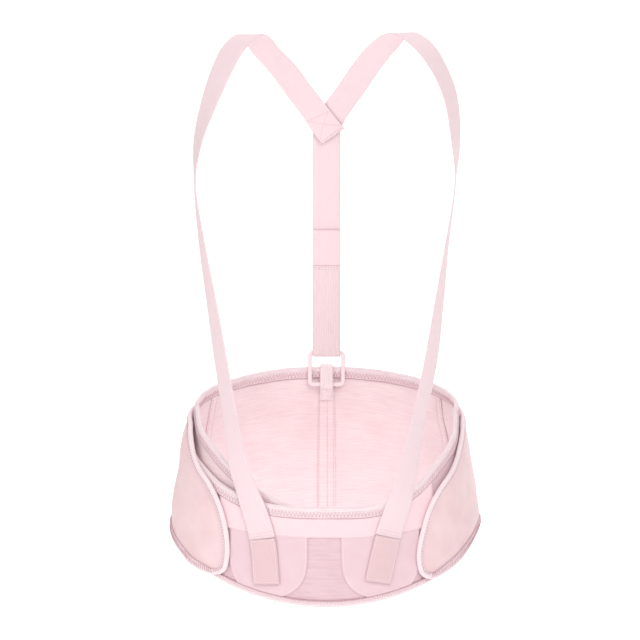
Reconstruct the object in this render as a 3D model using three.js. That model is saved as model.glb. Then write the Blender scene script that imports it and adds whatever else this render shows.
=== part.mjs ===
// Maternity support belt with shoulder straps, in the form it has when it is worn.
// X points to the viewer's right of the front, Y to the back and Z up.
// The origin lies on the body's axis at the level where the belt sits on the waist.
// Every cloth wall follows one body surface, and lies a named distance outside it.
// A turn is an angle round the body: 0 at the front centre, positive towards +X.

import * as THREE from 'three';

// Body surface, in millimetres.
const hipHalfWidth = 159;
const bellyDepth = 125;
const seatDepth = 126;
const widthTaper = 21.5;
const depthTaper = 8;
const backHeight = 193;
const frontHemRise = 6.5;
const sideHemRise = 45;
const backHemRise = 14;
const waistLevel = 95;

// Cloth, tape and the gaps between them.
const cloth = 1.6;
const tape = 1.0;
const gap = 0.3;
const layerGap = 0.8;
const wingTapeGap = 0.7;
const rimTapeWidth = 11.5;
const hemTapeWidth = 6.5;
const wingTapeWidth = 4.5;
const wingHemTapeWidth = 7.5;

// Band ends, seams and wings, in degrees of turn.
const rightSeamTurn = 84;
const leftSeamTurn = -88;
const endBandTurn = -6;
const bandEndTurn = -76;
const wingSeamTurn = 118;
const stayTurn = 121;

// Panels sewn on the front band and inside the back panel.
const yokeHeight = 20;
const yokeTurn = 46;
const patchThickness = 1.0;
const patchHalfWidth = 35;
const patchRoundHeight = 46;
const patchFoot = 14;
const patchRoundness = 2.4;
const leftPatchTurn = -23.3;
const rightPatchTurn = 21.6;
const yokeTopRise = 0.6;
const centreStayWidth = 18;
const sideStayWidth = 10;

// Webbing straps, their gripping ends and the ring.
const strapWidth = 30;
const webbing = 1.6;
const tabThickness = 2.0;
const strapCrown = 0.9;
const shoulderHeight = 604;
const chestHalfWidth = 142;
const junctionShare = 0.7682;
const backTabLength = 40;
const backTabRise = 96.5;
const ringBar = 4.4;
const ringThickness = 3;
const ringHeight = 40.5;
const ringSideGap = 0.7;
const ringRise = 21;
const ringCorner = 6;
const ringTabWidth = 14;
const ringTabWebbing = 1.2;
const ringTabDrop = 37;
const strapSettleLength = 22;
const tabRunUp = 10;
const tabSettle = 15;

// Fineness of the faceted surfaces.
const turnStep = 5;
const wingRows = 14;
const wingColumns = 12;
const wingEasing = 1.35;
const patchColumns = 12;
const wingMitreLimit = 0.6;
const strapMitreLimit = 0.7;
const strapStepsPerRow = 3;
const tabSteps = 5;
const loopSteps = 8;
const ringCornerSteps = 3;

// Top edges, as turn in degrees and height as a share of backHeight.
const backRimRows = [
  { turn: 80, rise: 0.982 },
  { turn: 110, rise: 0.984 },
  { turn: 145, rise: 0.992 },
  { turn: 180, rise: 1.0 },
  { turn: 215, rise: 0.992 },
  { turn: 250, rise: 0.985 },
  { turn: 280, rise: 0.985 },
];
const endBandRows = [
  { turn: -90, rise: 0.985 },
  { turn: -78, rise: 0.948 },
  { turn: -58, rise: 0.858 },
  { turn: -46, rise: 0.785 },
  { turn: -30, rise: 0.679 },
  { turn: -16, rise: 0.606 },
  { turn: 0, rise: 0.57 },
];
const bandRows = [
  { turn: -78, rise: 0.785 },
  { turn: -60, rise: 0.733 },
  { turn: -45, rise: 0.663 },
  { turn: -26, rise: 0.608 },
  { turn: 0, rise: 0.6 },
  { turn: 24, rise: 0.61 },
  { turn: 39, rise: 0.689 },
  { turn: 53, rise: 0.795 },
  { turn: 73, rise: 0.892 },
  { turn: 86, rise: 0.984 },
];

// A wing's front edge from its top corner down, then its lower edge to the back seam.
const leftWing = {
  side: -1,
  front: [
    { turn: 92, rise: 0.913 },
    { turn: 83, rise: 0.898 },
    { turn: 72, rise: 0.845 },
    { turn: 61, rise: 0.737 },
    { turn: 52, rise: 0.668 },
    { turn: 45.5, rise: 0.575 },
    { turn: 41.2, rise: 0.455 },
    { turn: 39.3, rise: 0.33 },
    { turn: 40, rise: 0.215 },
    { turn: 43, rise: 0.172 },
    { turn: 48, rise: 0.158 },
  ],
  foot: [
    { turn: 48, rise: 0.158 },
    { turn: 59, rise: 0.175 },
    { turn: 71, rise: 0.23 },
    { turn: 86, rise: 0.288 },
    { turn: 102, rise: 0.272 },
    { turn: 118, rise: 0.215 },
  ],
};
const rightWing = {
  side: 1,
  front: [
    { turn: 92, rise: 0.913 },
    { turn: 82, rise: 0.882 },
    { turn: 70, rise: 0.812 },
    { turn: 58, rise: 0.713 },
    { turn: 49, rise: 0.64 },
    { turn: 42.3, rise: 0.54 },
    { turn: 38, rise: 0.41 },
    { turn: 36, rise: 0.3 },
    { turn: 36.6, rise: 0.205 },
    { turn: 39, rise: 0.162 },
    { turn: 43, rise: 0.143 },
  ],
  foot: [
    { turn: 43, rise: 0.143 },
    { turn: 52, rise: 0.171 },
    { turn: 62, rise: 0.213 },
    { turn: 74, rise: 0.258 },
    { turn: 86, rise: 0.288 },
    { turn: 102, rise: 0.27 },
    { turn: 118, rise: 0.215 },
  ],
};

// Shoulder straps. The laid rows lie on the front band, from the tab's end to the band's rim.
// In the free rows, out is a share of chestHalfWidth, reach of bellyDepth (negative, in front)
// or seatDepth (behind), rise of shoulderHeight. Facing and lean give the way the outer face
// looks: degrees from straight ahead towards the strap's own side, and degrees upwards.
const leftStrap = {
  side: -1,
  layer: 2,
  laid: [
    { turn: 22.8, rise: 0.15 },
    { turn: 25.0, rise: 0.41 },
    { turn: 28.5, rise: 0.55 },
  ],
  free: [
    { out: 0.608, reach: -0.915, rise: 0.2247, facing: 40, lean: 5 },
    { out: 0.664, reach: -0.905, rise: 0.267, facing: 45, lean: 4 },
    { out: 0.721, reach: -0.872, rise: 0.3515, facing: 57, lean: 2 },
    { out: 0.792, reach: -0.824, rise: 0.453, facing: 61, lean: 0 },
    { out: 0.864, reach: -0.752, rise: 0.561, facing: 68, lean: 0 },
    { out: 0.932, reach: -0.664, rise: 0.658, facing: 77, lean: 0 },
    { out: 0.985, reach: -0.528, rise: 0.7605, facing: 88, lean: 2 },
    { out: 0.965, reach: -0.432, rise: 0.829, facing: 75, lean: 10 },
    { out: 0.892, reach: -0.336, rise: 0.888, facing: 60, lean: 18 },
    { out: 0.78, reach: -0.216, rise: 0.952, facing: 46, lean: 38 },
    { out: 0.695, reach: -0.112, rise: 0.984, facing: 42, lean: 60 },
    { out: 0.575, reach: 0.055, rise: 0.998, facing: 110, lean: 80 },
    { out: 0.445, reach: 0.286, rise: 0.951, facing: 168, lean: 54 },
    { out: 0.325, reach: 0.525, rise: 0.904, facing: 172, lean: 43 },
    { out: 0.211, reach: 0.731, rise: 0.853, facing: 176, lean: 35 },
    { out: 0.091, reach: 0.85, rise: 0.807, facing: 180, lean: 24 },
    { out: 0.015, reach: 0.892, rise: 0.778, facing: 180, lean: 6 },
    { out: -0.06, reach: 0.9, rise: 0.754, facing: 180, lean: 0 },
  ],
};
const rightStrap = {
  side: 1,
  layer: 1,
  laid: [
    { turn: 19.3, rise: 0.166 },
    { turn: 23.9, rise: 0.423 },
    { turn: 28.2, rise: 0.575 },
  ],
  free: [
    { out: 0.589, reach: -0.92, rise: 0.2325, facing: 42, lean: 5 },
    { out: 0.623, reach: -0.91, rise: 0.273, facing: 48, lean: 4 },
    { out: 0.694, reach: -0.868, rise: 0.352, facing: 58, lean: 2 },
    { out: 0.785, reach: -0.819, rise: 0.458, facing: 61, lean: 0 },
    { out: 0.845, reach: -0.752, rise: 0.561, facing: 71, lean: 0 },
    { out: 0.901, reach: -0.664, rise: 0.658, facing: 83, lean: 0 },
    { out: 0.963, reach: -0.528, rise: 0.7605, facing: 90, lean: 2 },
    { out: 0.966, reach: -0.416, rise: 0.837, facing: 72, lean: 10 },
    { out: 0.928, reach: -0.312, rise: 0.905, facing: 64, lean: 18 },
    { out: 0.843, reach: -0.216, rise: 0.952, facing: 60, lean: 38 },
    { out: 0.72, reach: -0.096, rise: 0.988, facing: 55, lean: 62 },
    { out: 0.566, reach: 0.065, rise: 1.0, facing: 110, lean: 80 },
    { out: 0.415, reach: 0.27, rise: 0.959, facing: 168, lean: 54 },
    { out: 0.287, reach: 0.525, rise: 0.904, facing: 172, lean: 43 },
    { out: 0.181, reach: 0.735, rise: 0.852, facing: 176, lean: 35 },
    { out: 0.068, reach: 0.856, rise: 0.806, facing: 180, lean: 24 },
    { out: 0.015, reach: 0.8975, rise: 0.783, facing: 180, lean: 6 },
    { out: -0.038, reach: 0.9, rise: 0.764, facing: 180, lean: 0 },
  ],
};

// Layers outwards from the body surface.
const tapeReach = gap + tape;
const bandLift = cloth + tapeReach + layerGap + tapeReach;
const trimLift = cloth + gap;
const wingRearLift = cloth + wingTapeGap + tape + layerGap / 2;
const bandSeatFadeStart = 42;
const rightWingFadeTurn = 78;
const wingFadeLength = 24;

const degree = Math.PI / 180;
const rise = (share) => share * backHeight;

function fade(value, from, to) {
  return THREE.MathUtils.smoothstep(value, from, to);
}

// Looks a height up between the rows of an edge table, along a smooth curve.
function edgeHeight(rows) {
  const turns = rows.map((row) => row.turn * degree);
  const heights = rows.map((row) => rise(row.rise));
  const curve = new THREE.CubicInterpolant(turns, heights, 1);
  return (turn) => curve.evaluate(turn)[0];
}

const backRim = edgeHeight(backRimRows);
const endBandRim = edgeHeight(endBandRows);
const bandRim = edgeHeight(bandRows);

function hem(turn) {
  const ahead = Math.cos(turn);
  const low = ahead > 0 ? frontHemRise : backHemRise;
  return low + (sideHemRise - low) * (1 - ahead * ahead);
}

// The front band lies over the inner end band, and comes in to the body surface at its sewn end.
function bandSeat(turn) {
  return bandLift * (1 - fade(turn, bandSeatFadeStart * degree, rightSeamTurn * degree));
}

function wingSeat(turn) {
  const side = turn > 0 ? rightWingFadeTurn : -bandEndTurn;
  const passed = fade(Math.abs(turn), side * degree, (side + wingFadeLength) * degree);
  return THREE.MathUtils.lerp(bandSeat(turn) + bandLift, wingRearLift, passed);
}

// Body surface: a point and its directions along the turn, up the surface and out of it.
function bodyPoint(turn, height, lift = 0) {
  const frame = bodyFrame(turn, height);
  return frame.point.addScaledVector(frame.out, lift);
}

function bodyFrame(turn, height) {
  const share = height / backHeight;
  const halfWidth = hipHalfWidth - widthTaper * share * share;
  const depth = (Math.cos(turn) > 0 ? bellyDepth : seatDepth) - depthTaper * share * share;
  const slope = (-2 * share) / backHeight;
  const point = new THREE.Vector3(halfWidth * Math.sin(turn), -depth * Math.cos(turn), height);
  const along = new THREE.Vector3(halfWidth * Math.cos(turn), depth * Math.sin(turn), 0);
  const perRadian = along.length();
  const up = new THREE.Vector3(
    slope * widthTaper * Math.sin(turn),
    -slope * depthTaper * Math.cos(turn),
    1,
  );
  along.normalize();
  up.normalize();
  const out = new THREE.Vector3().crossVectors(along, up).normalize();
  return { point, along, up, out, perRadian };
}

// Mesh builders. Both turn their faces outwards whichever way the points run.
function closedGeometry(points, faces) {
  let volume = 0;
  for (const [a, b, c] of faces) {
    volume += new THREE.Vector3().crossVectors(points[b], points[c]).dot(points[a]);
  }
  const ordered = volume > 0 ? faces : faces.map(([a, b, c]) => [a, c, b]);
  const geometry = new THREE.BufferGeometry();
  const values = points.flatMap((point) => point.toArray());
  geometry.setAttribute('position', new THREE.Float32BufferAttribute(values, 3));
  geometry.setIndex(ordered.flat());
  geometry.computeVertexNormals();
  return geometry;
}

// A sheet with an inner and an outer face, given as two grids of points of the same size.
function sheetGeometry(inner, outer) {
  const rows = inner.length;
  const columns = inner[0].length;
  const points = [...inner.flat(), ...outer.flat()];
  const at = (face, row, column) => (face * rows + row) * columns + column;
  const faces = [];
  const quad = (a, b, c, d) => faces.push([a, b, c], [a, c, d]);
  for (let row = 0; row + 1 < rows; row += 1) {
    for (let column = 0; column + 1 < columns; column += 1) {
      quad(at(0, row, column), at(0, row + 1, column), at(0, row + 1, column + 1), at(0, row, column + 1));
      quad(at(1, row, column), at(1, row, column + 1), at(1, row + 1, column + 1), at(1, row + 1, column));
    }
    const last = columns - 1;
    quad(at(0, row, 0), at(1, row, 0), at(1, row + 1, 0), at(0, row + 1, 0));
    quad(at(0, row, last), at(0, row + 1, last), at(1, row + 1, last), at(1, row, last));
  }
  for (let column = 0; column + 1 < columns; column += 1) {
    const last = rows - 1;
    quad(at(0, 0, column), at(0, 0, column + 1), at(1, 0, column + 1), at(1, 0, column));
    quad(at(0, last, column), at(1, last, column), at(1, last, column + 1), at(0, last, column + 1));
  }
  return closedGeometry(points, faces);
}

// A profile carried through sections of points, closed by a cap at each end.
function sweptGeometry(sections, profile) {
  const count = profile.length;
  const points = sections.flat();
  const faces = [];
  for (let row = 0; row + 1 < sections.length; row += 1) {
    for (let corner = 0; corner < count; corner += 1) {
      const next = (corner + 1) % count;
      const a = row * count + corner;
      const b = row * count + next;
      faces.push([a, b, b + count], [a, b + count, a + count]);
    }
  }
  const end = (sections.length - 1) * count;
  const turnsLeft = THREE.ShapeUtils.area(profile) > 0;
  for (const [a, b, c] of THREE.ShapeUtils.triangulateShape(profile, [])) {
    const sameWay = THREE.ShapeUtils.area([profile[a], profile[b], profile[c]]) > 0 === turnsLeft;
    const [p, q] = sameWay ? [b, c] : [c, b];
    faces.push([a, q, p], [end + a, end + p, end + q]);
  }
  return closedGeometry(points, faces);
}

const belt = new THREE.Group();
const worn = new THREE.Group();
worn.position.z = -waistLevel;
belt.add(worn);

const finishes = {
  knit: { color: 0xf3d3d8, roughness: 0.9, metalness: 0 },
  rib: { color: 0xf1cdd3, roughness: 0.92, metalness: 0 },
  binding: { color: 0xf7dde1, roughness: 0.8, metalness: 0 },
  webbing: { color: 0xf5d8dc, roughness: 0.82, metalness: 0 },
  grip: { color: 0xe9bfc6, roughness: 0.95, metalness: 0 },
  plastic: { color: 0xf3ced4, roughness: 0.4, metalness: 0 },
};

function addPiece(name, geometry, finish) {
  const mesh = new THREE.Mesh(geometry, new THREE.MeshStandardMaterial(finishes[finish]));
  mesh.name = name;
  worn.add(mesh);
}

function turnsBetween(from, to) {
  const steps = Math.ceil(Math.abs(to - from) / (turnStep * degree) - 1e-6);
  return Array.from({ length: steps + 1 }, (_, step) => from + ((to - from) * step) / steps);
}

// A cloth wall over a stretch of turns, from a lower edge to an upper edge.
function clothWall({ turns, foot, top, lift, thickness, rows }) {
  const face = (extra) =>
    turns.map((turn) =>
      Array.from({ length: rows + 1 }, (_, row) => {
        const height = THREE.MathUtils.lerp(foot(turn), top(turn), row / rows);
        return bodyPoint(turn, height, lift(turn) + extra);
      }),
    );
  return sheetGeometry(face(0), face(thickness));
}

// Folded tape seen in section: across the cloth's thickness, and past the cloth's edge.
function tapeProfile(leg, slack = gap) {
  const inside = -slack;
  const outside = cloth + slack;
  return [
    new THREE.Vector2(inside - tape, -leg),
    new THREE.Vector2(inside - tape, gap + tape),
    new THREE.Vector2(outside + tape, gap + tape),
    new THREE.Vector2(outside + tape, -leg),
    new THREE.Vector2(outside, -leg),
    new THREE.Vector2(outside, gap),
    new THREE.Vector2(inside, gap),
    new THREE.Vector2(inside, -leg),
  ];
}

// Tape folded over a rim (beyond = 1) or a hem (beyond = -1) that runs round the body.
function edgeTape({ turns, edge, lift, leg, beyond }) {
  const profile = tapeProfile(leg);
  const sections = turns.map((turn) =>
    profile.map((spot) => bodyPoint(turn, edge(turn) + beyond * spot.y, lift(turn) + spot.x)),
  );
  return sweptGeometry(sections, profile);
}

const onBody = () => 0;
const gapTurn = gap / hipHalfWidth;
const rightSeam = rightSeamTurn * degree;
const leftSeam = leftSeamTurn * degree;

function addBackPanel() {
  const turns = turnsBetween(rightSeam + gapTurn, leftSeam + 2 * Math.PI - gapTurn);
  const wall = { turns, foot: hem, top: backRim, lift: onBody, thickness: cloth, rows: 7 };
  addPiece('back_panel', clothWall(wall), 'knit');
  const rim = { turns, edge: backRim, lift: onBody, leg: rimTapeWidth, beyond: 1 };
  addPiece('back_rim_binding', edgeTape(rim), 'binding');
}

// Stay channels are flat casings sewn to the inside of the back panel, below the rim's tape.
function addStay(name, turn, width) {
  const half = width / 2 / bodyFrame(turn, backHeight / 2).perRadian;
  const wall = {
    turns: [turn - half, turn, turn + half],
    foot: (at) => hem(at) + hemTapeWidth,
    top: (at) => backRim(at) - rimTapeWidth - gap,
    lift: () => -tapeReach,
    thickness: tape,
    rows: 6,
  };
  addPiece(name, clothWall(wall), 'binding');
}

function addEndBand() {
  const turns = turnsBetween(leftSeam + gapTurn, endBandTurn * degree);
  const foot = (turn) => hem(turn) + hemTapeWidth;
  const wall = { turns, foot, top: endBandRim, lift: onBody, thickness: cloth, rows: 6 };
  addPiece('left_end_band', clothWall(wall), 'knit');
  const rim = { turns, edge: endBandRim, lift: onBody, leg: rimTapeWidth, beyond: 1 };
  addPiece('left_end_binding', edgeTape(rim), 'binding');
}

const trimSeat = (turn) => bandSeat(turn) + trimLift;
const yokeTop = (turn) => bandRim(turn) - rimTapeWidth - gap;
const yokeFoot = (turn) => Math.min(yokeTop(turn), rise(yokeTopRise) - rimTapeWidth) - yokeHeight;

function addFrontBand() {
  const turns = turnsBetween(bandEndTurn * degree, rightSeam - gapTurn);
  const wall = { turns, foot: hem, top: bandRim, lift: bandSeat, thickness: cloth, rows: 5 };
  addPiece('front_band', clothWall(wall), 'rib');
  const rim = { turns, edge: bandRim, lift: bandSeat, leg: rimTapeWidth, beyond: 1 };
  addPiece('front_rim_binding', edgeTape(rim), 'binding');
  const foot = { turns, edge: hem, lift: bandSeat, leg: hemTapeWidth, beyond: -1 };
  addPiece('front_hem_binding', edgeTape(foot), 'binding');
  const yoke = {
    turns: turnsBetween(-yokeTurn * degree, yokeTurn * degree),
    foot: yokeFoot,
    top: yokeTop,
    lift: trimSeat,
    thickness: tape,
    rows: 2,
  };
  addPiece('front_yoke', clothWall(yoke), 'knit');
}

// A patch hangs from the yoke's lower edge, with straight sides and a round foot.
function addGripPatch(name, centreTurn) {
  const half = patchHalfWidth / bellyDepth;
  const middle = centreTurn * degree;
  const shares = Array.from({ length: patchColumns + 1 }, (_, column) => {
    return Math.sin((column / patchColumns - 0.5) * Math.PI);
  });
  const wall = {
    turns: shares.map((share) => middle + half * share),
    foot: (turn) => {
      const across = Math.min(1, Math.abs((turn - middle) / half));
      const drop = Math.pow(1 - Math.pow(across, patchRoundness), 1 / patchRoundness);
      const lowest = hem(turn) + hemTapeWidth + gap;
      return Math.max(lowest, patchFoot + patchRoundHeight * (1 - drop));
    },
    top: (turn) => yokeFoot(turn) - gap,
    lift: trimSeat,
    thickness: patchThickness,
    rows: 3,
  };
  addPiece(name, clothWall(wall), 'knit');
}

// Edge of a wing as a curve of turn (as a length at the hip) and height.
function wingEdge(rows, side) {
  const spots = rows.map((row) => {
    return new THREE.Vector2(side * row.turn * degree * hipHalfWidth, rise(row.rise));
  });
  return new THREE.SplineCurve(spots);
}

function addWing(name, wing) {
  const front = wingEdge(wing.front, wing.side);
  const foot = wingEdge(wing.foot, wing.side);
  const seamX = wing.side * wingSeamTurn * degree * hipHalfWidth;
  const topStart = front.getPointAt(0);
  const footEnd = foot.getPointAt(1);
  const seam = (up) => new THREE.Vector2(seamX, THREE.MathUtils.lerp(footEnd.y, topStart.y, up));
  const top = (aft) => new THREE.Vector2(THREE.MathUtils.lerp(topStart.x, seamX, aft), topStart.y);
  const spot = (aft, up) => {
    const blend = front.getPointAt(1 - up).multiplyScalar(1 - aft);
    blend.addScaledVector(seam(up), aft);
    blend.addScaledVector(foot.getPointAt(aft), 1 - up);
    blend.addScaledVector(top(aft), up);
    blend.addScaledVector(front.getPointAt(1), -(1 - aft) * (1 - up));
    blend.addScaledVector(topStart, -(1 - aft) * up);
    blend.addScaledVector(seam(0), -aft * (1 - up));
    return blend.addScaledVector(seam(1), -aft * up);
  };
  const onWing = (place, lift) => {
    const turn = place.x / hipHalfWidth;
    return bodyPoint(turn, place.y, wingSeat(turn) + lift);
  };
  const back = (column) => Math.pow(column / wingColumns, wingEasing);
  const face = (lift) =>
    Array.from({ length: wingColumns + 1 }, (_, column) =>
      Array.from({ length: wingRows + 1 }, (_, row) => {
        return onWing(spot(back(column), row / wingRows), lift);
      }),
    );
  addPiece(name, sheetGeometry(face(0), face(cloth)), 'knit');

  // The tape runs from the seam along the top, down the front edge and back along the foot.
  const outline = [];
  for (let column = wingColumns; column > 0; column -= 1) {
    outline.push({ place: spot(back(column), 1), leg: wingTapeWidth });
  }
  for (let row = wingRows; row > 0; row -= 1) {
    outline.push({ place: spot(0, row / wingRows), leg: wingTapeWidth });
  }
  for (let column = 0; column <= wingColumns; column += 1) {
    outline.push({ place: spot(back(column), 0), leg: wingHemTapeWidth });
  }
  const sections = outline.map(({ place, leg }, index) => {
    const perTurn = bodyFrame(place.x / hipHalfWidth, place.y).perRadian / hipHalfWidth;
    const step = (from, to) => {
      const run = outline[to].place.clone().sub(outline[from].place);
      return new THREE.Vector2(run.x * perTurn, run.y).normalize();
    };
    const before = step(Math.max(0, index - 1), Math.max(1, index));
    const after = step(Math.min(index, outline.length - 2), Math.min(index + 1, outline.length - 1));
    const along = before.clone().add(after).normalize();
    const mitre = 1 / Math.max(wingMitreLimit, along.dot(after));
    const away = new THREE.Vector2(along.y, -along.x).multiplyScalar(wing.side * mitre);
    return tapeProfile(leg, wingTapeGap).map((corner) => {
      const moved = new THREE.Vector2(away.x / perTurn, away.y).multiplyScalar(corner.y).add(place);
      return onWing(moved, corner.x);
    });
  });
  addPiece(`${name}_binding`, sweptGeometry(sections, tapeProfile(wingTapeWidth, wingTapeGap)), 'binding');
}

// A flat strap along a curve, with its outer face turned to the given directions.
function ribbonGeometry({ path, faces, from, to, steps, width, thickness, crown }) {
  const inner = [];
  const outer = [];
  for (let step = 0; step <= steps; step += 1) {
    const t = THREE.MathUtils.lerp(from, to, step / steps);
    const ahead = path.getTangent(t);
    const out = faces.getPoint(t).normalize();
    out.addScaledVector(ahead, -out.dot(ahead)).normalize();
    const across = new THREE.Vector3().crossVectors(ahead, out);
    const bulge = crown * Math.max(0, -out.y);
    const line = [-1, 0, 1].map((side) => {
      const point = path.getPoint(t).addScaledVector(across, (side * width) / 2);
      return point.addScaledVector(out, side === 0 ? bulge : 0);
    });
    inner.push(line.map((point) => point.clone().addScaledVector(out, -thickness / 2)));
    outer.push(line.map((point) => point.clone().addScaledVector(out, thickness / 2)));
  }
  return sheetGeometry(inner, outer);
}

const strapLift = trimLift + Math.max(tape, patchThickness) + gap + tabThickness / 2;
const junctionHeight = junctionShare * shoulderHeight;
const ringTopHeight = backHeight + ringRise;
const backTabFoot = ringTopHeight + backTabRise;
const ringTabFoot = backHeight - ringTabDrop;
const ringHalfWidth = strapWidth / 2 + ringSideGap + ringBar;
const ringTurn = Math.PI - ringHalfWidth / (hipHalfWidth - widthTaper);
const rimInner = bodyPoint(ringTurn, backHeight, -tapeReach).y;
const ringPlane = rimInner - gap - ringThickness / 2;
const loopRadius = (ringThickness / 2) * Math.SQRT2 + gap + webbing / 2;
const backStrapPlane = ringPlane + loopRadius;

function addShoulderStrap(name, strap) {
  const places = [];
  const facings = [];
  for (const row of strap.laid) {
    const turn = strap.side * row.turn * degree;
    const lift = bandSeat(turn) + strapLift;
    places.push(bodyPoint(turn, rise(row.rise), lift));
    facings.push(bodyFrame(turn, rise(row.rise)).out);
  }
  const lastReach = backStrapPlane - strap.layer * (webbing + layerGap);
  const lastRow = strap.free[strap.free.length - 1];
  for (const row of strap.free) {
    const depth = row.reach < 0 ? bellyDepth : lastReach / lastRow.reach;
    const x = strap.side * row.out * chestHalfWidth;
    places.push(new THREE.Vector3(x, row.reach * depth, row.rise * shoulderHeight));
    const facing = row.facing * degree;
    const lean = row.lean * degree;
    const level = Math.cos(lean);
    const sideways = strap.side * Math.sin(facing) * level;
    facings.push(new THREE.Vector3(sideways, -Math.cos(facing) * level, Math.sin(lean)));
  }
  const path = new THREE.CatmullRomCurve3(places, false, 'centripetal');
  const faces = new THREE.CatmullRomCurve3(facings, false, 'centripetal');
  const tabEnd = 1 / (places.length - 1);
  const seamGap = (gap / (places[1].distanceTo(places[0]))) * tabEnd;
  const shape = { path, faces, width: strapWidth, crown: strapCrown };
  const length = { from: tabEnd, to: 1, steps: strapStepsPerRow * (places.length - 2), thickness: webbing };
  addPiece(`${name}_shoulder_strap`, ribbonGeometry({ ...shape, ...length }), 'webbing');
  const tab = { from: 0, to: tabEnd - seamGap, steps: tabSteps, thickness: tabThickness };
  addPiece(`${name}_strap_tab`, ribbonGeometry({ ...shape, ...tab }), 'grip');
}

// A strap that stays in the middle plane, along points of depth and height.
function middleStrap(spots, width, thickness) {
  const path = spots.map((spot, index) => {
    const last = spots.length - 1;
    const before = spots[Math.max(0, index - 1)];
    const after = spots[Math.min(last, index + 1)];
    const here = after.clone().sub(before).normalize();
    const start = spots[Math.min(index + 1, last)].clone().sub(spots[Math.min(index, last - 1)]);
    const mitre = 1 / Math.max(strapMitreLimit, here.dot(start.normalize()));
    const side = new THREE.Vector2(here.y, -here.x).multiplyScalar(mitre);
    return { spot, side };
  });
  const face = (shift) =>
    path.map(({ spot, side }) => {
      const moved = spot.clone().addScaledVector(side, shift);
      return [-0.5, 0.5].map((half) => new THREE.Vector3(half * width, moved.x, moved.y));
    });
  return sheetGeometry(face(-thickness / 2), face(thickness / 2));
}

function arcSpots(centre, radius, fromDegrees, toDegrees, steps) {
  return Array.from({ length: steps + 1 }, (_, step) => {
    const angle = THREE.MathUtils.lerp(fromDegrees, toDegrees, step / steps) * degree;
    const reach = new THREE.Vector2(Math.cos(angle), Math.sin(angle)).multiplyScalar(radius);
    return reach.add(centre);
  });
}

// The centre strap comes down, passes round the ring's top bar and comes up again inside.
function addCentreStrap() {
  const loopHeight = ringTopHeight - ringBar + ringThickness / 2;
  const loopCentre = new THREE.Vector2(ringPlane, loopHeight);
  const foldedPlane = backStrapPlane - webbing - gap;
  const settleHeight = loopHeight + strapSettleLength;
  const spots = [
    new THREE.Vector2(backStrapPlane, junctionHeight),
    new THREE.Vector2(backStrapPlane, (junctionHeight + loopHeight) / 2),
    new THREE.Vector2(backStrapPlane, settleHeight),
    ...arcSpots(loopCentre, loopRadius, 0, -180, loopSteps),
    new THREE.Vector2(foldedPlane, settleHeight),
    new THREE.Vector2(foldedPlane, backTabFoot - gap),
  ];
  addPiece('centre_back_strap', middleStrap(spots, strapWidth, webbing), 'webbing');
  const tabPlane = backStrapPlane - webbing / 2 - gap - tabThickness / 2;
  const tab = [
    new THREE.Vector2(tabPlane, backTabFoot),
    new THREE.Vector2(tabPlane, backTabFoot + backTabLength),
  ];
  addPiece('back_strap_tab', middleStrap(tab, strapWidth, tabThickness), 'grip');
}

function roundedRectangle(path, halfWidth, halfHeight, corner) {
  path.moveTo(halfWidth, corner - halfHeight);
  path.lineTo(halfWidth, halfHeight - corner);
  path.absarc(halfWidth - corner, halfHeight - corner, corner, 0, Math.PI / 2, false);
  path.lineTo(corner - halfWidth, halfHeight);
  path.absarc(corner - halfWidth, halfHeight - corner, corner, Math.PI / 2, Math.PI, false);
  path.lineTo(-halfWidth, corner - halfHeight);
  path.absarc(corner - halfWidth, corner - halfHeight, corner, Math.PI, 1.5 * Math.PI, false);
  path.lineTo(halfWidth - corner, -halfHeight);
  path.absarc(halfWidth - corner, corner - halfHeight, corner, 1.5 * Math.PI, 2 * Math.PI, false);
  return path;
}

function addRing() {
  const innerHalf = strapWidth / 2 + ringSideGap;
  const innerHalfHeight = ringHeight / 2 - ringBar;
  const innerCorner = ringCorner - ringBar;
  const outline = roundedRectangle(new THREE.Shape(), ringHalfWidth, ringHeight / 2, ringCorner);
  outline.holes.push(roundedRectangle(new THREE.Path(), innerHalf, innerHalfHeight, innerCorner));
  const options = { depth: ringThickness, bevelEnabled: false, curveSegments: ringCornerSteps };
  const geometry = new THREE.ExtrudeGeometry(outline, options);
  geometry.rotateX(Math.PI / 2);
  geometry.translate(0, ringPlane + ringThickness / 2, ringTopHeight - ringHeight / 2);
  addPiece('slide_ring', geometry, 'plastic');
}

// A short web holds the ring's lower bar: up the inside, over the bar and over the rim.
function addRingTab() {
  const half = ringTabWebbing / 2;
  const edgeTurn = Math.PI - ringTabWidth / 2 / (hipHalfWidth - widthTaper);
  const inside = (height) => bodyPoint(edgeTurn, height).y - tapeReach - layerGap - half;
  const outside = (height) => bodyPoint(Math.PI, height).y + cloth + tapeReach + layerGap + half;
  const overBar = ringPlane - ringThickness / 2 - gap - half;
  const barFoot = ringTopHeight - ringHeight;
  const crest = backHeight + tapeReach + 2 * gap + half;
  const spots = [
    new THREE.Vector2(inside(ringTabFoot), ringTabFoot),
    new THREE.Vector2(inside(barFoot), barFoot - tabRunUp),
    new THREE.Vector2(overBar, barFoot - half),
    new THREE.Vector2(overBar, barFoot + ringBar + half),
    new THREE.Vector2(inside(backHeight), barFoot + tabSettle),
    new THREE.Vector2(inside(backHeight), crest - half),
    new THREE.Vector2(inside(backHeight) + half, crest),
    new THREE.Vector2(outside(backHeight) - half, crest),
    new THREE.Vector2(outside(backHeight), crest - half),
    new THREE.Vector2(outside(backHeight - rimTapeWidth), backHeight - rimTapeWidth),
    new THREE.Vector2(outside(backHeight - 2 * rimTapeWidth), backHeight - 2 * rimTapeWidth),
  ];
  addPiece('ring_tab', middleStrap(spots, ringTabWidth, ringTabWebbing), 'webbing');
}

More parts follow.
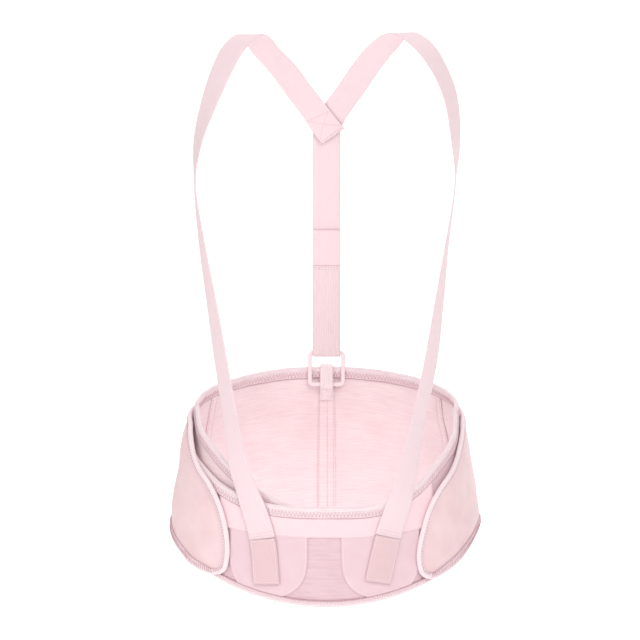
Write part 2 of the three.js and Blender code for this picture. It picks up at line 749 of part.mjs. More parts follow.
addBackPanel();
addStay('centre_stay_channel', Math.PI, centreStayWidth);
addStay('left_stay_channel', -stayTurn * degree + 2 * Math.PI, sideStayWidth);
addStay('right_stay_channel', stayTurn * degree, sideStayWidth);
addEndBand();
addFrontBand();
addGripPatch('left_grip_patch', leftPatchTurn);
addGripPatch('right_grip_patch', rightPatchTurn);
addWing('left_wing', leftWing);
addWing('right_wing', rightWing);
addShoulderStrap('left', leftStrap);
addShoulderStrap('right', rightStrap);
addCentreStrap();
addRing();
addRingTab();

export default belt;
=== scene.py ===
"""Dresses the frame of a maternity support belt: knit panels, bindings, stitching, webbing and ring.

Lengths in this script are millimetres above the front hem's base line until to_frame() turns them
into the frame's metres. A turn is an angle round the body, 0 at the front centre and positive
towards +X. Every cloth wall follows one body surface and lies a named distance outside it.
"""

import math

import bpy
import numpy as np
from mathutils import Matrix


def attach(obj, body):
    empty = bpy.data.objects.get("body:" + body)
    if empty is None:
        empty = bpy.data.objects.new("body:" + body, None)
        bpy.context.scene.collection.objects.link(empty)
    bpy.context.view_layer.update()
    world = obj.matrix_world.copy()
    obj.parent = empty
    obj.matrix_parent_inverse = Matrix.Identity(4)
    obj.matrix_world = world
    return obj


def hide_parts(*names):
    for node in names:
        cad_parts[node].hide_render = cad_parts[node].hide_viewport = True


bl_info = {
    "name": "Maternity support belt",
    "version": (1, 0, 0),
    "blender": (4, 5, 0),
    "location": "View3D > Sidebar > Belt",
    "description": "Builds the dressed belt over its frame, piece by piece",
    "category": "Object",
}

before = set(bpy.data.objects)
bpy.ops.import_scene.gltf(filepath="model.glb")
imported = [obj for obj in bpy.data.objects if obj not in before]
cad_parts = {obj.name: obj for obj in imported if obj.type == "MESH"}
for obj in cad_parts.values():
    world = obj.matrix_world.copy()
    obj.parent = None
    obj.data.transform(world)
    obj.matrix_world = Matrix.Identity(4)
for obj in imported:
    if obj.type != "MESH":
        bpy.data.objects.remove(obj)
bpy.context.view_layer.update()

# Body surface.
HIP_HALF_WIDTH = 159.0
BELLY_DEPTH = 125.0
SEAT_DEPTH = 126.0
WIDTH_TAPER = 21.5
DEPTH_TAPER = 8.0
BACK_HEIGHT = 193.0
FRONT_HEM_RISE = 6.5
SIDE_HEM_RISE = 45.0
BACK_HEM_RISE = 14.0
WAIST_LEVEL = 95.0

# Cloth, tape and the gaps between them.
CLOTH = 1.6
TAPE = 1.0
GAP = 0.3
LAYER_GAP = 0.8
WING_TAPE_GAP = 0.7
RIM_TAPE_WIDTH = 11.5
HEM_TAPE_WIDTH = 6.5
WING_TAPE_WIDTH = 4.5
WING_HEM_TAPE_WIDTH = 8.6

# Band ends, seams and wings, in degrees of turn.
RIGHT_SEAM_TURN = 84.0
LEFT_SEAM_TURN = -88.0
END_BAND_TURN = -6.0
BAND_END_TURN = -76.0
WING_SEAM_TURN = 118.0
STAY_TURN = 121.0

# Panels sewn on the front band and inside the back panel.
YOKE_HEIGHT = 20.0
YOKE_TURN = 46.0
YOKE_TOP_RISE = 0.6
PATCH_HALF_WIDTH = 35.0
PATCH_ROUND_HEIGHT = 46.0
PATCH_FOOT = 14.0
PATCH_ROUNDNESS = 2.4
LEFT_PATCH_TURN = -23.3
RIGHT_PATCH_TURN = 21.6
CENTRE_STAY_WIDTH = 18.0
SIDE_STAY_WIDTH = 10.0

# Webbing straps, their gripping ends and the ring.
STRAP_WIDTH = 30.0
WEBBING = 1.6
TAB_THICKNESS = 2.0
STRAP_CROWN = 0.9
SHOULDER_HEIGHT = 604.0
CHEST_HALF_WIDTH = 142.0
JUNCTION_SHARE = 0.7682
BACK_TAB_LENGTH = 40.0
BACK_TAB_RISE = 96.5
RING_BAR = 4.4
RING_THICKNESS = 3.0
RING_HEIGHT = 40.5
RING_SIDE_GAP = 0.7
RING_RISE = 21.0
RING_CORNER = 6.0
RING_STEP = 2.0
RING_SIDES = 16
RING_SQUARENESS = 0.62
RING_TAB_WIDTH = 14.0
RING_TAB_WEBBING = 1.2
RING_TAB_DROP = 37.0
STRAP_SETTLE_LENGTH = 22.0
TAB_RUN_UP = 10.0
TAB_SETTLE = 15.0

# Layers outwards from the body surface.
TAPE_REACH = GAP + TAPE
BAND_LIFT = CLOTH + 2 * TAPE_REACH + LAYER_GAP
TRIM_LIFT = CLOTH + GAP
WING_REAR_LIFT = CLOTH + WING_TAPE_GAP + TAPE + LAYER_GAP / 2
BAND_SEAT_FADE_START = 42.0
RIGHT_WING_FADE_TURN = 78.0
WING_FADE_LENGTH = 24.0
LEFT_WING_SETTLE = (0.78, 0.93)
LEFT_WING_SETTLE_SHARE = 0.8

# Top edges: turn in degrees and height as a share of BACK_HEIGHT.
BACK_RIM = [
    (80, 0.982), (110, 0.984), (145, 0.992), (180, 1.0), (215, 0.992), (250, 0.985), (280, 0.985),
]
END_RIM = [
    (-90, 0.985), (-78, 0.948), (-58, 0.858), (-46, 0.785), (-30, 0.679), (-16, 0.606), (0, 0.57),
]
BAND_RIM = [
    (-78, 0.785), (-60, 0.733), (-45, 0.663), (-26, 0.608), (0, 0.6),
    (24, 0.61), (39, 0.689), (53, 0.795), (73, 0.892), (86, 0.984),
]

# A wing's front edge from its top corner down, then its lower edge to the back seam: turn, rise.
LEFT_WING = {
    "side": -1,
    "front": [
        (92, 0.913), (83, 0.898), (72, 0.845), (61, 0.737), (52, 0.668), (45.5, 0.575),
        (41.2, 0.455), (39.3, 0.33), (40, 0.215), (43, 0.172), (48, 0.158),
    ],
    "foot": [(48, 0.158), (59, 0.175), (71, 0.23), (86, 0.288), (102, 0.272), (118, 0.215)],
}
RIGHT_WING = {
    "side": 1,
    "front": [
        (92, 0.913), (82, 0.882), (70, 0.812), (58, 0.713), (49, 0.64), (42.3, 0.54),
        (38, 0.41), (36, 0.3), (36.6, 0.205), (39, 0.162), (43, 0.143),
    ],
    "foot": [
        (43, 0.143), (52, 0.171), (62, 0.213), (74, 0.258), (86, 0.288), (102, 0.27), (118, 0.215),
    ],
}

# Shoulder straps. Laid rows: turn in degrees and height as a share of BACK_HEIGHT. Free rows: out,
# reach and rise as shares of the chest, belly and shoulder sizes, then facing and lean in degrees.
LEFT_STRAP = {
    "side": -1,
    "layer": 2,
    "laid": [(22.8, 0.15), (25.0, 0.41), (28.5, 0.55)],
    "free": [
        (0.608, -0.915, 0.2247, 40, 5),
        (0.664, -0.905, 0.267, 45, 4),
        (0.721, -0.872, 0.3515, 57, 2),
        (0.792, -0.824, 0.453, 61, 0),
        (0.864, -0.752, 0.561, 68, 0),
        (0.932, -0.664, 0.658, 77, 0),
        (0.985, -0.528, 0.7605, 88, 2),
        (0.965, -0.432, 0.829, 75, 10),
        (0.892, -0.336, 0.888, 60, 18),
        (0.78, -0.216, 0.952, 46, 38),
        (0.695, -0.112, 0.984, 42, 60),
        (0.575, 0.055, 0.998, 110, 80),
        (0.445, 0.286, 0.951, 168, 54),
        (0.325, 0.525, 0.904, 172, 43),
        (0.211, 0.731, 0.853, 176, 35),
        (0.091, 0.85, 0.807, 180, 24),
        (0.015, 0.892, 0.778, 180, 6),
        (-0.06, 0.9, 0.754, 180, 0),
    ],
}
RIGHT_STRAP = {
    "side": 1,
    "layer": 1,
    "laid": [(19.3, 0.166), (23.9, 0.423), (28.2, 0.575)],
    "free": [
        (0.589, -0.92, 0.2325, 42, 5),
        (0.623, -0.91, 0.273, 48, 4),
        (0.694, -0.868, 0.352, 58, 2),
        (0.785, -0.819, 0.458, 61, 0),
        (0.845, -0.752, 0.561, 71, 0),
        (0.901, -0.664, 0.658, 83, 0),
        (0.963, -0.528, 0.7605, 90, 2),
        (0.966, -0.416, 0.837, 72, 10),
        (0.928, -0.312, 0.905, 64, 18),
        (0.843, -0.216, 0.952, 60, 38),
        (0.72, -0.096, 0.988, 55, 62),
        (0.566, 0.065, 1.0, 110, 80),
        (0.415, 0.27, 0.959, 168, 54),
        (0.287, 0.525, 0.904, 172, 43),
        (0.181, 0.735, 0.852, 176, 35),
        (0.068, 0.856, 0.806, 180, 24),
        (0.015, 0.8975, 0.783, 180, 6),
        (-0.038, 0.9, 0.764, 180, 0),
    ],
}

# Cloth under a tape stops short of its fold, and a cut rim bulges by a share of the thickness.
EDGE_INSET = 0.5
EDGE_BULGE = 0.42

# Soft dents: size and lean, place in the noise, and share of the relief. None where it is calm.
DENTS = [
    {"width": 46.0, "height": 31.0, "lean": 90.0, "place": (0.0, 0.0), "share": 0.7},
    {"width": 17.0, "height": 24.0, "lean": -26.0, "place": (9.0, 5.0), "share": 0.3},
]
CALM_FRONT = (40.0, 66.0)
CALM_BACK = (160.0, 172.0)
NOISE_SIZE = 64

# A tape's outer face: rise in millimetres, then place and spread as shares of its leg.
TAPE_SWELLS = [(0.22, 0.25, 0.2), (-0.1, 0.62, 0.12)]

# A tape's points along each leg and round its fold, the rounding of its edges, and half its flat
# width in its cloth coordinates. Then the mesh steps in a gather, and how far from the fold it grows.
TAPE_FOLD_STEPS = 9
TAPE_EDGE_ROUNDING = 0.3
TAPE_HALF_WIDTH = 14.0
GATHER_STEPS = 4
GATHER_FADE = 3.0

# A stitch in sections: share of its length, then height and girth in thread radii.
STITCH_SECTIONS = [(0.0, -0.9, 0.8), (0.22, 0.35, 1.0), (0.78, 0.35, 1.0), (1.0, -0.9, 0.8)]
THREAD_SIDES = 6

# Thread radii as shares of the sidebar's thread radius.
FINE_THREAD = 0.8
HEM_THREAD = 0.85
RING_THREAD = 0.62
WING_THREAD = 1.4

# A tape's zigzag: its middle and its greatest half width, as shares of the tape's leg.
ZIGZAG_PLACE = 0.56
ZIGZAG_REACH = 0.26

# Webbing in section: points over a face, the powers that spread them and square the selvedges, and
# a small lip beside each. The lip's place, spread and end are shares of the webbing's half width.
WEBBING_POINTS = 15
SELVEDGE_SPREAD = 0.85
SELVEDGE_ROUNDNESS = 14
LIP_RISE = 0.12
LIP_PLACE = 0.93
LIP_SPREAD = 0.035
LIP_END = 0.999

# Rows of stitches, in millimetres from the edge or the middle line that they follow.
HEM_STITCH_RISES = (3.2, 6.2)
CENTRE_STAY_STITCHES = (-8.0, 1.0, 7.6)
SIDE_STAY_STITCHES = (-3.8, 3.8)
STAY_STITCH_FOOT = 2.0
STAY_STITCH_TOP = 1.5
YOKE_STITCH_RISE = 1.7
PATCH_STITCH_INSET = 1.6
PATCH_STITCH_TOP = 1.0
STRAP_STITCH_INSET = 2.0
FOLD_STITCH_INSET = 1.5
FOLD_STITCH_DROPS = (1.8, 4.6)
RING_TAB_STITCH_REACH = 5.4

# Points of the ring tab's line that rows cross, and the stretches along which they run.
RING_TAB_CROSSINGS = (2, 5, 16, -3, -8)
RING_TAB_RUNS = (slice(2, 17), slice(-16, -2))

# A stay channel's crown, and the groove along its middle as a share of its half width.
STAY_CROWN = 0.35
STAY_GROOVE = 0.12

# A wing's mesh, closer towards the front. Its crown fades out over shares of its length and height,
# and its inner face takes a share of it.
WING_COLUMNS = 58
WING_ROWS = 52
WING_FRONT_BIAS = 1.2
WING_CROWN_FADE = (1 / 4.2, 1 / 5.0)
WING_CROWN_INSIDE = 0.85

# A wing's binding: step of its mesh, points that smooth its corners, and where it widens and its
# overlock stitches begin, as distances from the wing's lower front corner.
BINDING_STEP = 0.8
BINDING_SMOOTHING = 7
BINDING_WIDENS = (-16.0, 26.0)
OVERLOCK_START = -6.0

# Overlock stitches: pitch, start and slant as shares of it, and lanes as shares of the tape's leg.
OVERLOCK_PITCH = 3.0
OVERLOCK_LEAD = 0.2
OVERLOCK_SLANT = 0.45
OVERLOCK_LANES = (0.12, 0.86)
OVERLOCK_EDGE_LANE = 0.94
WING_FRONT_LANE = 0.72

# The shoulder straps' mesh: tries along the curve, step, and the points that a join's stitches cover.
STRAP_TRIES = 900
STRAP_STEP = 3.0
STRAP_JOIN = (-11, -2)

# The lights' places and sides in metres, and the setting that holds the power of each.
LIGHTS = [
    ("Key_Light", (1.3, -3.7, 4.2), 2.6, "key_power"),
    ("Fill_Light", (-3.4, -2.8, 2.0), 3.6, "fill_power"),
    ("Back_Light", (0.6, 3.6, 3.4), 3.0, "back_power"),
]
LIGHT_TARGET = (0.0, 0.0, 0.15)
CAMERA_TARGET = (-0.007, 0.0, 0.1907)
SENSOR_WIDTH = 36.0
VIEW_DEPTH = 200.0
SKY_COLOUR = (1.0, 0.995, 0.99, 1.0)
FLOOR_HALF_SIZE = 60.0
# Share of the floor's colour that it gives out as light of its own.
FLOOR_GLOW = 0.42

# This script's unit in metres, and the name of the cloth coordinates.
MILLIMETRE = 0.001
UV_NAME = "Cloth"


# Settings that the sidebar shows.


def millimetre_property(title, description, default, least, most):
    """A size that the sidebar shows in millimetres, whatever the scene's unit is."""
    return bpy.props.FloatProperty(
        name=title, description=description + ", in millimetres", default=default, min=least, max=most
    )


def power_property(title, description, default):
    return bpy.props.FloatProperty(
        name=title, description=description, default=default, min=0.0, unit="POWER"
    )


def colour_property(title, description, default):
    return bpy.props.FloatVectorProperty(
        name=title,
        description=description,
        default=(*default, 1.0),
        size=4,
        min=0.0,
        max=1.0,
        subtype="COLOR",
    )


# A cloth's darker colour: its streaks and mottle take it as their own darker tone, and the weave's hollows
# take it as painted shade.
def shade_property(title, default):
    return colour_property(title + " shade", "Its deeper tone between the yarns", default)


class BeltClothSettings(bpy.types.PropertyGroup):
    """How fine the cloth's meshes are, and how much they give"""

    mesh_pitch: millimetre_property("Mesh pitch", "Distance between a cloth mesh's points", 2.8, 1.0, 10.0)
    relief: millimetre_property("Relief", "Depth of the soft dents in the sides and back", 1.8, 0.0, 3.0)
    pucker: millimetre_property("Pucker", "Depth of the gathers along the sewn tapes", 0.14, 0.0, 0.4)
    wing_crown: millimetre_property("Wing crown", "Rise of a wing's middle from its edge", 1.3, 0.0, 3.0)


class BeltThreadSettings(bpy.types.PropertyGroup):
    """Sizes of the sewing thread and its stitches"""

    radius: millimetre_property("Thread radius", "Radius of the sewing thread", 0.33, 0.1, 0.6)
    zigzag_pitch: millimetre_property("Zigzag pitch", "Length of one zigzag", 3.8, 1.0, 8.0)
    zigzag_width: millimetre_property("Zigzag width", "Width of the zigzag row", 5.6, 1.0, 8.0)
    dash: millimetre_property("Straight stitch", "Length of one straight stitch", 2.3, 1.0, 6.0)
    rest: millimetre_property("Rest", "Gap between straight stitches", 0.9, 0.2, 4.0)


class BeltColourSettings(bpy.types.PropertyGroup):
    """Colours of the cloths, threads, ring and floor"""

    knit: colour_property("Back knit", "Back panel, its stay channels and the end band", (0.93, 0.785, 0.80))
    knit_shade: shade_property("Back knit", (0.8, 0.57, 0.6))
    band: colour_property("Front knit", "Front band and its grip patches", (0.80, 0.60, 0.64))
    band_shade: shade_property("Front knit", (0.66, 0.42, 0.47))
    smooth: colour_property("Loop cloth", "Yoke and the folded end of the centre strap", (0.9, 0.68, 0.715))
    smooth_shade: shade_property("Loop cloth", (0.83, 0.58, 0.62))
    wing: colour_property("Wing cloth", "Both wings", (0.85, 0.64, 0.65))
    wing_shade: shade_property("Wing cloth", (0.76, 0.51, 0.525))
    tape: colour_property("Binding", "Tape round the rims and hems", (0.93, 0.81, 0.83))
    tape_shade: shade_property("Binding", (0.56, 0.34, 0.38))
    # A lighter copy of the binding's colour: painted highlight for the lit wing edges and the ring tab.
    lit_tape: colour_property("Wing binding", "Tape round the wings, and the ring tab", (0.95, 0.82, 0.84))
    lit_tape_shade: shade_property("Wing binding", (0.56, 0.34, 0.38))
    webbing: colour_property("Webbing", "Shoulder straps and the centre strap", (0.885, 0.715, 0.745))
    webbing_shade: shade_property("Webbing", (0.76, 0.54, 0.58))
    elastic: colour_property("Ribbed elastic", "Lower part of the centre strap", (0.9, 0.75, 0.77))
    elastic_shade: shade_property("Ribbed elastic", (0.74, 0.53, 0.57))
    grip: colour_property("Grip tabs", "Gripping ends of the shoulder straps", (0.795, 0.585, 0.60))
    grip_shade: shade_property("Grip tabs", (0.62, 0.39, 0.41))
    thread: colour_property("Thread", "Stitches on the bindings and channels", (0.77, 0.53, 0.57))
    thread_shade: shade_property("Thread", (0.54, 0.31, 0.36))
    pale_thread: colour_property("Pale thread", "Stitches on the yoke, patches and tabs", (0.96, 0.82, 0.85))
    pale_thread_shade: shade_property("Pale thread", (0.8, 0.56, 0.61))
    seam_thread: colour_property("Wing thread", "Overlock stitches round the wings", (0.64, 0.38, 0.43))
    seam_thread_shade: shade_property("Wing thread", (0.46, 0.24, 0.29))
    ring: colour_property("Ring", "Moulded slide ring", (0.95, 0.81, 0.84))
    floor: colour_property("Floor", "Plain floor under the belt", (0.92, 0.92, 0.92))


class BeltStageSettings(bpy.types.PropertyGroup):
    """Camera and light"""

    elevation: bpy.props.FloatProperty(
        name="Elevation",
        description="Angle of the camera above level",
        default=math.radians(18.0),
        subtype="ANGLE",
        unit="ROTATION",
    )
    distance: bpy.props.FloatProperty(
        name="Distance",
        description="Distance from the camera to the belt",
        default=14.0,
        unit="LENGTH",
    )
    lens: bpy.props.FloatProperty(
        name="Lens",
        description="Focal length in millimetres, for the sensor's width of 36",
        default=734.7,
        unit="CAMERA",
    )
    floor_drop: bpy.props.FloatProperty(
        name="Floor drop",
        description="Distance from the waist level down to the floor",
        default=0.75,
        unit="LENGTH",
    )
    key_power: power_property("Key power", "Power of the key light", 138.0)
    fill_power: power_property("Fill power", "Power of the fill light", 54.0)
    back_power: power_property("Back power", "Power of the light behind the belt", 115.0)
    sky: bpy.props.FloatProperty(
        name="Sky",
        description="Strength of the even light from all round",
        default=0.47,
        min=0.0,
    )


# Body surface and edges.


def radians(values):
    return np.radians(np.asarray(values, dtype=float))


def unit(vectors):
    return vectors / np.linalg.norm(vectors, axis=-1, keepdims=True)


def ease(value, start, end):
    share = np.clip((value - start) / (end - start), 0.0, 1.0)
    return share * share * (3.0 - 2.0 * share)


def body(turn, height):
    """Point, direction along the turn, direction up, direction out, and length of one radian."""
    turn, height = np.broadcast_arrays(np.asarray(turn, float), np.asarray(height, float))
    share = height / BACK_HEIGHT
    half = HIP_HALF_WIDTH - WIDTH_TAPER * share**2
    ahead = np.cos(turn)
    depth = np.where(ahead > 0, BELLY_DEPTH, SEAT_DEPTH) - DEPTH_TAPER * share**2
    slope = -2.0 * share / BACK_HEIGHT
    aside = np.sin(turn)
    point = np.stack([half * aside, -depth * ahead, height], -1)
    along = np.stack([half * ahead, depth * aside, np.zeros_like(turn)], -1)
    reach = np.linalg.norm(along, axis=-1)
    along = unit(along)
    rise = [slope * WIDTH_TAPER * aside, -slope * DEPTH_TAPER * ahead, np.ones_like(turn)]
    up = unit(np.stack(rise, -1))
    return point, along, up, unit(np.cross(along, up)), reach


NOISE_TABLE = np.random.default_rng(11).uniform(-1.0, 1.0, (NOISE_SIZE, NOISE_SIZE))


def soft_noise(x, y):
    """Smooth seeded noise from -1 to 1 over a plane, one bump to a unit."""
    column = np.floor(x).astype(int)
    row = np.floor(y).astype(int)
    across = ease(x - column, 0.0, 1.0)
    up = ease(y - row, 0.0, 1.0)

    def at(i, j):
        return NOISE_TABLE[(row + j) % NOISE_SIZE, (column + i) % NOISE_SIZE]

    low = at(0, 0) * (1 - across) + at(1, 0) * across
    high = at(0, 1) * (1 - across) + at(1, 1) * across
    return low * (1 - up) + high * up


def relief(turn, height):
    """Soft dents shared by all the layers, none under the straps, the ring and the front centre."""
    depth = bpy.context.scene.belt_cloth.relief
    wrapped = np.abs((turn + math.pi) % (2 * math.pi) - math.pi)
    calm_front = ease(wrapped, *radians(CALM_FRONT))
    calm_back = 1.0 - ease(wrapped, *radians(CALM_BACK))
    aside = turn * HIP_HALF_WIDTH
    dents = 0.0
    for dent in DENTS:
        start, foot = dent["place"]
        across = aside / dent["width"] + height / dent["lean"] + start
        dents = dents + dent["share"] * soft_noise(across, height / dent["height"] + foot)
    return depth * dents * calm_front * calm_back


def lifted(turn, height, lift):
    """Points a given distance outside the body surface, and the directions out of it."""
    point, _, _, out, _ = body(turn, height)
    turn, height, lift = np.broadcast_arrays(turn, height, lift)
    return point + out * (lift + relief(turn, height))[..., None], out


def edge_height(rows):
    """Looks a height up along a smooth curve through the rows of an edge table."""
    turns = radians([row[0] for row in rows])
    heights = np.array([row[1] for row in rows]) * BACK_HEIGHT
    last = len(rows) - 1

    def height(turn):
        turn = np.asarray(turn, dtype=float)
        after = np.clip(np.searchsorted(turns, turn, side="right"), 1, last)
        before = after - 1
        t0, t1 = turns[before], turns[after]
        t_prev = np.where(before > 0, turns[before - 1], 2 * t0 - t1)
        t_next = np.where(after < last, turns[np.minimum(after + 1, last)], 2 * t1 - t0)
        v_prev = np.where(before > 0, heights[before - 1], heights[after])
        v_next = np.where(after < last, heights[np.minimum(after + 1, last)], heights[before])
        half = 0.5 * (t1 - t0)
        w_prev = half / (t0 - t_prev)
        w_next = half / (t_next - t1)
        p = (turn - t0) / (t1 - t0)
        pp, ppp = p * p, p * p * p
        s_prev = -w_prev * ppp + 2 * w_prev * pp - w_prev * p
        s0 = (1 + w_prev) * ppp + (-1.5 - 2 * w_prev) * pp + (-0.5 + w_prev) * p + 1
        s1 = (-1 - w_next) * ppp + (1.5 + w_next) * pp + 0.5 * p
        s_next = w_next * ppp - w_next * pp
        return s_prev * v_prev + s0 * heights[before] + s1 * heights[after] + s_next * v_next

    return height


back_rim = edge_height(BACK_RIM)
end_rim = edge_height(END_RIM)
band_rim = edge_height(BAND_RIM)


def hem(turn):
    ahead = np.cos(turn)
    low = np.where(ahead > 0, FRONT_HEM_RISE, BACK_HEM_RISE)
    return low + (SIDE_HEM_RISE - low) * (1 - ahead * ahead)


def band_seat(turn):
    passed = ease(turn, math.radians(BAND_SEAT_FADE_START), math.radians(RIGHT_SEAM_TURN))
    return BAND_LIFT * (1 - passed)


def wing_seat(turn):
    start = np.where(turn > 0, RIGHT_WING_FADE_TURN, -BAND_END_TURN)
    passed = ease(np.degrees(np.abs(turn)), start, start + WING_FADE_LENGTH)
    return (band_seat(turn) + BAND_LIFT) * (1 - passed) + WING_REAR_LIFT * passed


def yoke_top(turn):
    return band_rim(turn) - RIM_TAPE_WIDTH - GAP


def yoke_foot(turn):
    return np.minimum(yoke_top(turn), YOKE_TOP_RISE * BACK_HEIGHT - RIM_TAPE_WIDTH) - YOKE_HEIGHT


def on_body(turn):
    return np.zeros_like(np.asarray(turn, dtype=float))


def trim_seat(turn):
    return band_seat(turn) + TRIM_LIFT


# Meshes.


def to_frame(points):
    return (np.asarray(points, dtype=float) - (0.0, 0.0, WAIST_LEVEL)) * MILLIMETRE


def outward(points, faces):
    """The faces, turned round if they look inwards."""
    a, b, c, d = (points[faces[:, k]] for k in range(4))
    volume = np.einsum("ij,ij->", a, np.cross(b, c)) + np.einsum("ij,ij->", a, np.cross(c, d))
    return faces if volume > 0 else faces[:, ::-1]


def make_piece(name, points, faces, uv, material, slot, nodes=()):
    """A smooth mesh piece that rides on the frame and stands for the named nodes."""
    faces = outward(points, np.asarray(faces, dtype=np.int32))
    mesh = bpy.data.meshes.new(name)
    mesh.vertices.add(len(points))
    mesh.vertices.foreach_set("co", to_frame(points).astype(np.float32).ravel())
    mesh.loops.add(faces.size)
    mesh.loops.foreach_set("vertex_index", faces.ravel())
    mesh.polygons.add(len(faces))
    mesh.polygons.foreach_set("loop_start", np.arange(0, faces.size, 4, dtype=np.int32))
    mesh.polygons.foreach_set("use_smooth", np.ones(len(faces), dtype=bool))
    layer = mesh.uv_layers.new(name=UV_NAME)
    layer.data.foreach_set("uv", uv[faces.ravel()].astype(np.float32).ravel())
    mesh.update(calc_edges=True)
    mesh.validate()
    mesh.materials.append(material)
    piece = bpy.data.objects.new(name, mesh)
    bpy.context.collection.objects.link(piece)
    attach(piece, "root")
    if nodes:
        piece.name = "worn_" + name
        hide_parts(*nodes)
    return piece


def slab(inner, outer, uv):
    """A closed sheet from two grids of points, with a rounded rim: points, faces and uv."""
    rows, columns = inner.shape[:2]
    number = np.arange(rows * columns).reshape(rows, columns)
    count = rows * columns
    a, b = number[:-1, :-1].ravel(), number[1:, :-1].ravel()
    c, d = number[1:, 1:].ravel(), number[:-1, 1:].ravel()
    faces = [np.stack([a, b, c, d], 1), np.stack([a, d, c, b], 1) + count]
    ring = [(0, k) for k in range(columns)]
    ring += [(k, columns - 1) for k in range(1, rows)]
    ring += [(rows - 1, k) for k in range(columns - 2, -1, -1)]
    ring += [(k, 0) for k in range(rows - 2, 0, -1)]
    r, k = np.array(ring).T
    middle = (inner[r, k] + outer[r, k]) / 2
    thickness = np.linalg.norm(outer[r, k] - inner[r, k], axis=1, keepdims=True)
    inside_r, inside_k = np.clip(r, 1, rows - 2), np.clip(k, 1, columns - 2)
    inside = (inner[inside_r, inside_k] + outer[inside_r, inside_k]) / 2
    middle = middle + unit(middle - inside) * EDGE_BULGE * thickness
    edge_in = number[r, k]
    edge_out = edge_in + count
    edge_mid = 2 * count + np.arange(len(ring))
    turn_on = np.roll(np.arange(len(ring)), -1)
    faces.append(np.stack([edge_in, edge_in[turn_on], edge_mid[turn_on], edge_mid], 1))
    faces.append(np.stack([edge_mid, edge_mid[turn_on], edge_out[turn_on], edge_out], 1))
    points = np.concatenate([inner.reshape(-1, 3), outer.reshape(-1, 3), middle])
    flat = uv.reshape(-1, 2)
    return points, np.concatenate(faces), np.concatenate([flat, flat, uv[r, k]])


def sweep(sections, uv):
    """A closed profile carried through sections, capped at both ends: points, faces and uv."""
    rows, corners = sections.shape[:2]
    number = np.arange(rows * corners).reshape(rows, corners)
    after = np.roll(number, -1, axis=1)
    faces = [np.stack([number[:-1], after[:-1], after[1:], number[1:]], -1).reshape(-1, 4)]
    half = corners // 2
    near = np.arange(half - 1)
    start = np.stack([corners - 1 - near, corners - 2 - near, near + 1, near], 1)
    faces.append(start)
    faces.append(start[:, ::-1] + (rows - 1) * corners)
    return sections.reshape(-1, 3), np.concatenate(faces), uv.reshape(-1, 2)


def turn_steps(start, end):
    pitch = bpy.context.scene.belt_cloth.mesh_pitch
    count = int(abs(end - start) * HIP_HALF_WIDTH / pitch) + 1
    return np.linspace(start, end, count + 1)


def wall_grids(turns, foot, top, lift, thickness, crown=None):
    """Inner and outer grids of a cloth wall, and its uv in millimetres of cloth."""
    pitch = bpy.context.scene.belt_cloth.mesh_pitch
    low, high = foot(turns), top(turns)
    rows = max(3, int(np.max(high - low) / pitch))
    share = np.linspace(0.0, 1.0, rows + 1)[:, None]
    height = low + (high - low) * share
    turn = np.broadcast_to(turns, height.shape)
    base = lift(turn)
    if crown is not None:
        base = base + crown(share, turn)
    inner, _ = lifted(turn, height, base)
    outer, _ = lifted(turn, height, base + thickness)
    uv = np.stack([turn * HIP_HALF_WIDTH, height], -1)
    return inner, outer, uv


def sheet_area(grid):
    """Area of a grid of points, in square metres."""
    first, last = grid[:-1, :-1], grid[1:, 1:]
    one, two = grid[1:, :-1], grid[:-1, 1:]
    halves = [np.cross(one - first, two - first), np.cross(one - last, two - last)]
    doubled = np.linalg.norm(halves[0], axis=-1) + np.linalg.norm(halves[1], axis=-1)
    return float(doubled.sum() / 2) * MILLIMETRE**2


def declare_sheet(piece, grid):
    """Measures the piece's longest row, its longest column and its area, and keeps none of them."""
    def longest(steps):
        return float(np.linalg.norm(steps, axis=-1).sum(axis=0).max()) * MILLIMETRE

    length = longest(np.swapaxes(np.diff(grid, axis=1), 0, 1))
    width = longest(np.diff(grid, axis=0))
    min(sheet_area(grid), width * length)


def cloth_wall(name, turns, foot, top, lift, thickness, material, slot, crown=None):
    inner, outer, uv = wall_grids(turns, foot, top, lift, thickness, crown)
    piece = make_piece(name, *slab(inner, outer, uv), material, slot, [name])
    return piece, (inner + outer) / 2


def tape_section(leg, slack):
    """Folded tape in section: across the cloth, past its edge, and the distance round the tape."""
    inside, outside = -slack - TAPE, CLOTH + slack + TAPE
    middle = (inside + outside) / 2
    wide = outside - middle
    narrow = wide - TAPE
    centre = TAPE_REACH - wide
    down = np.linspace(-leg, centre, TAPE_FOLD_STEPS)[:-1]
    arc = np.linspace(math.pi, 0.0, TAPE_FOLD_STEPS)
    swell = 0.0
    for rise, place, spread in TAPE_SWELLS:
        swell = swell + rise * np.exp(-(((down + place * leg) / (spread * leg)) ** 2))

    def fold(radius, angles):
        return [(middle + radius * math.cos(t), centre + radius * math.sin(t)) for t in angles]

    outer = [(inside - s, y) for y, s in zip(down, swell)]
    outer += fold(wide, arc)
    outer += [(outside + s, y) for y, s in zip(down[::-1], swell[::-1])]
    round_off = TAPE_EDGE_ROUNDING
    halfway = centre * 0.5 - leg * 0.5
    inner = [(outside - round_off * TAPE, -leg - round_off), (middle + narrow, -leg)]
    inner += [(middle + narrow, halfway), (middle + narrow, centre)]
    inner += fold(narrow, arc[::-1][1:-1])
    inner += [(middle - narrow, centre), (middle - narrow, halfway)]
    inner += [(middle - narrow, -leg), (inside + round_off * TAPE, -leg - round_off)]
    profile = np.array(outer + inner)
    if len(profile) % 2:
        profile = np.concatenate([profile, (profile[-1:] + profile[:1]) / 2])
    around = line_travel(profile)
    full = around[len(outer) - 1]
    from_end = np.clip(np.minimum(around, full - around), 0.0, None)
    around = np.sign(around - full / 2) * (TAPE_HALF_WIDTH - from_end)
    return profile, around, len(outer)


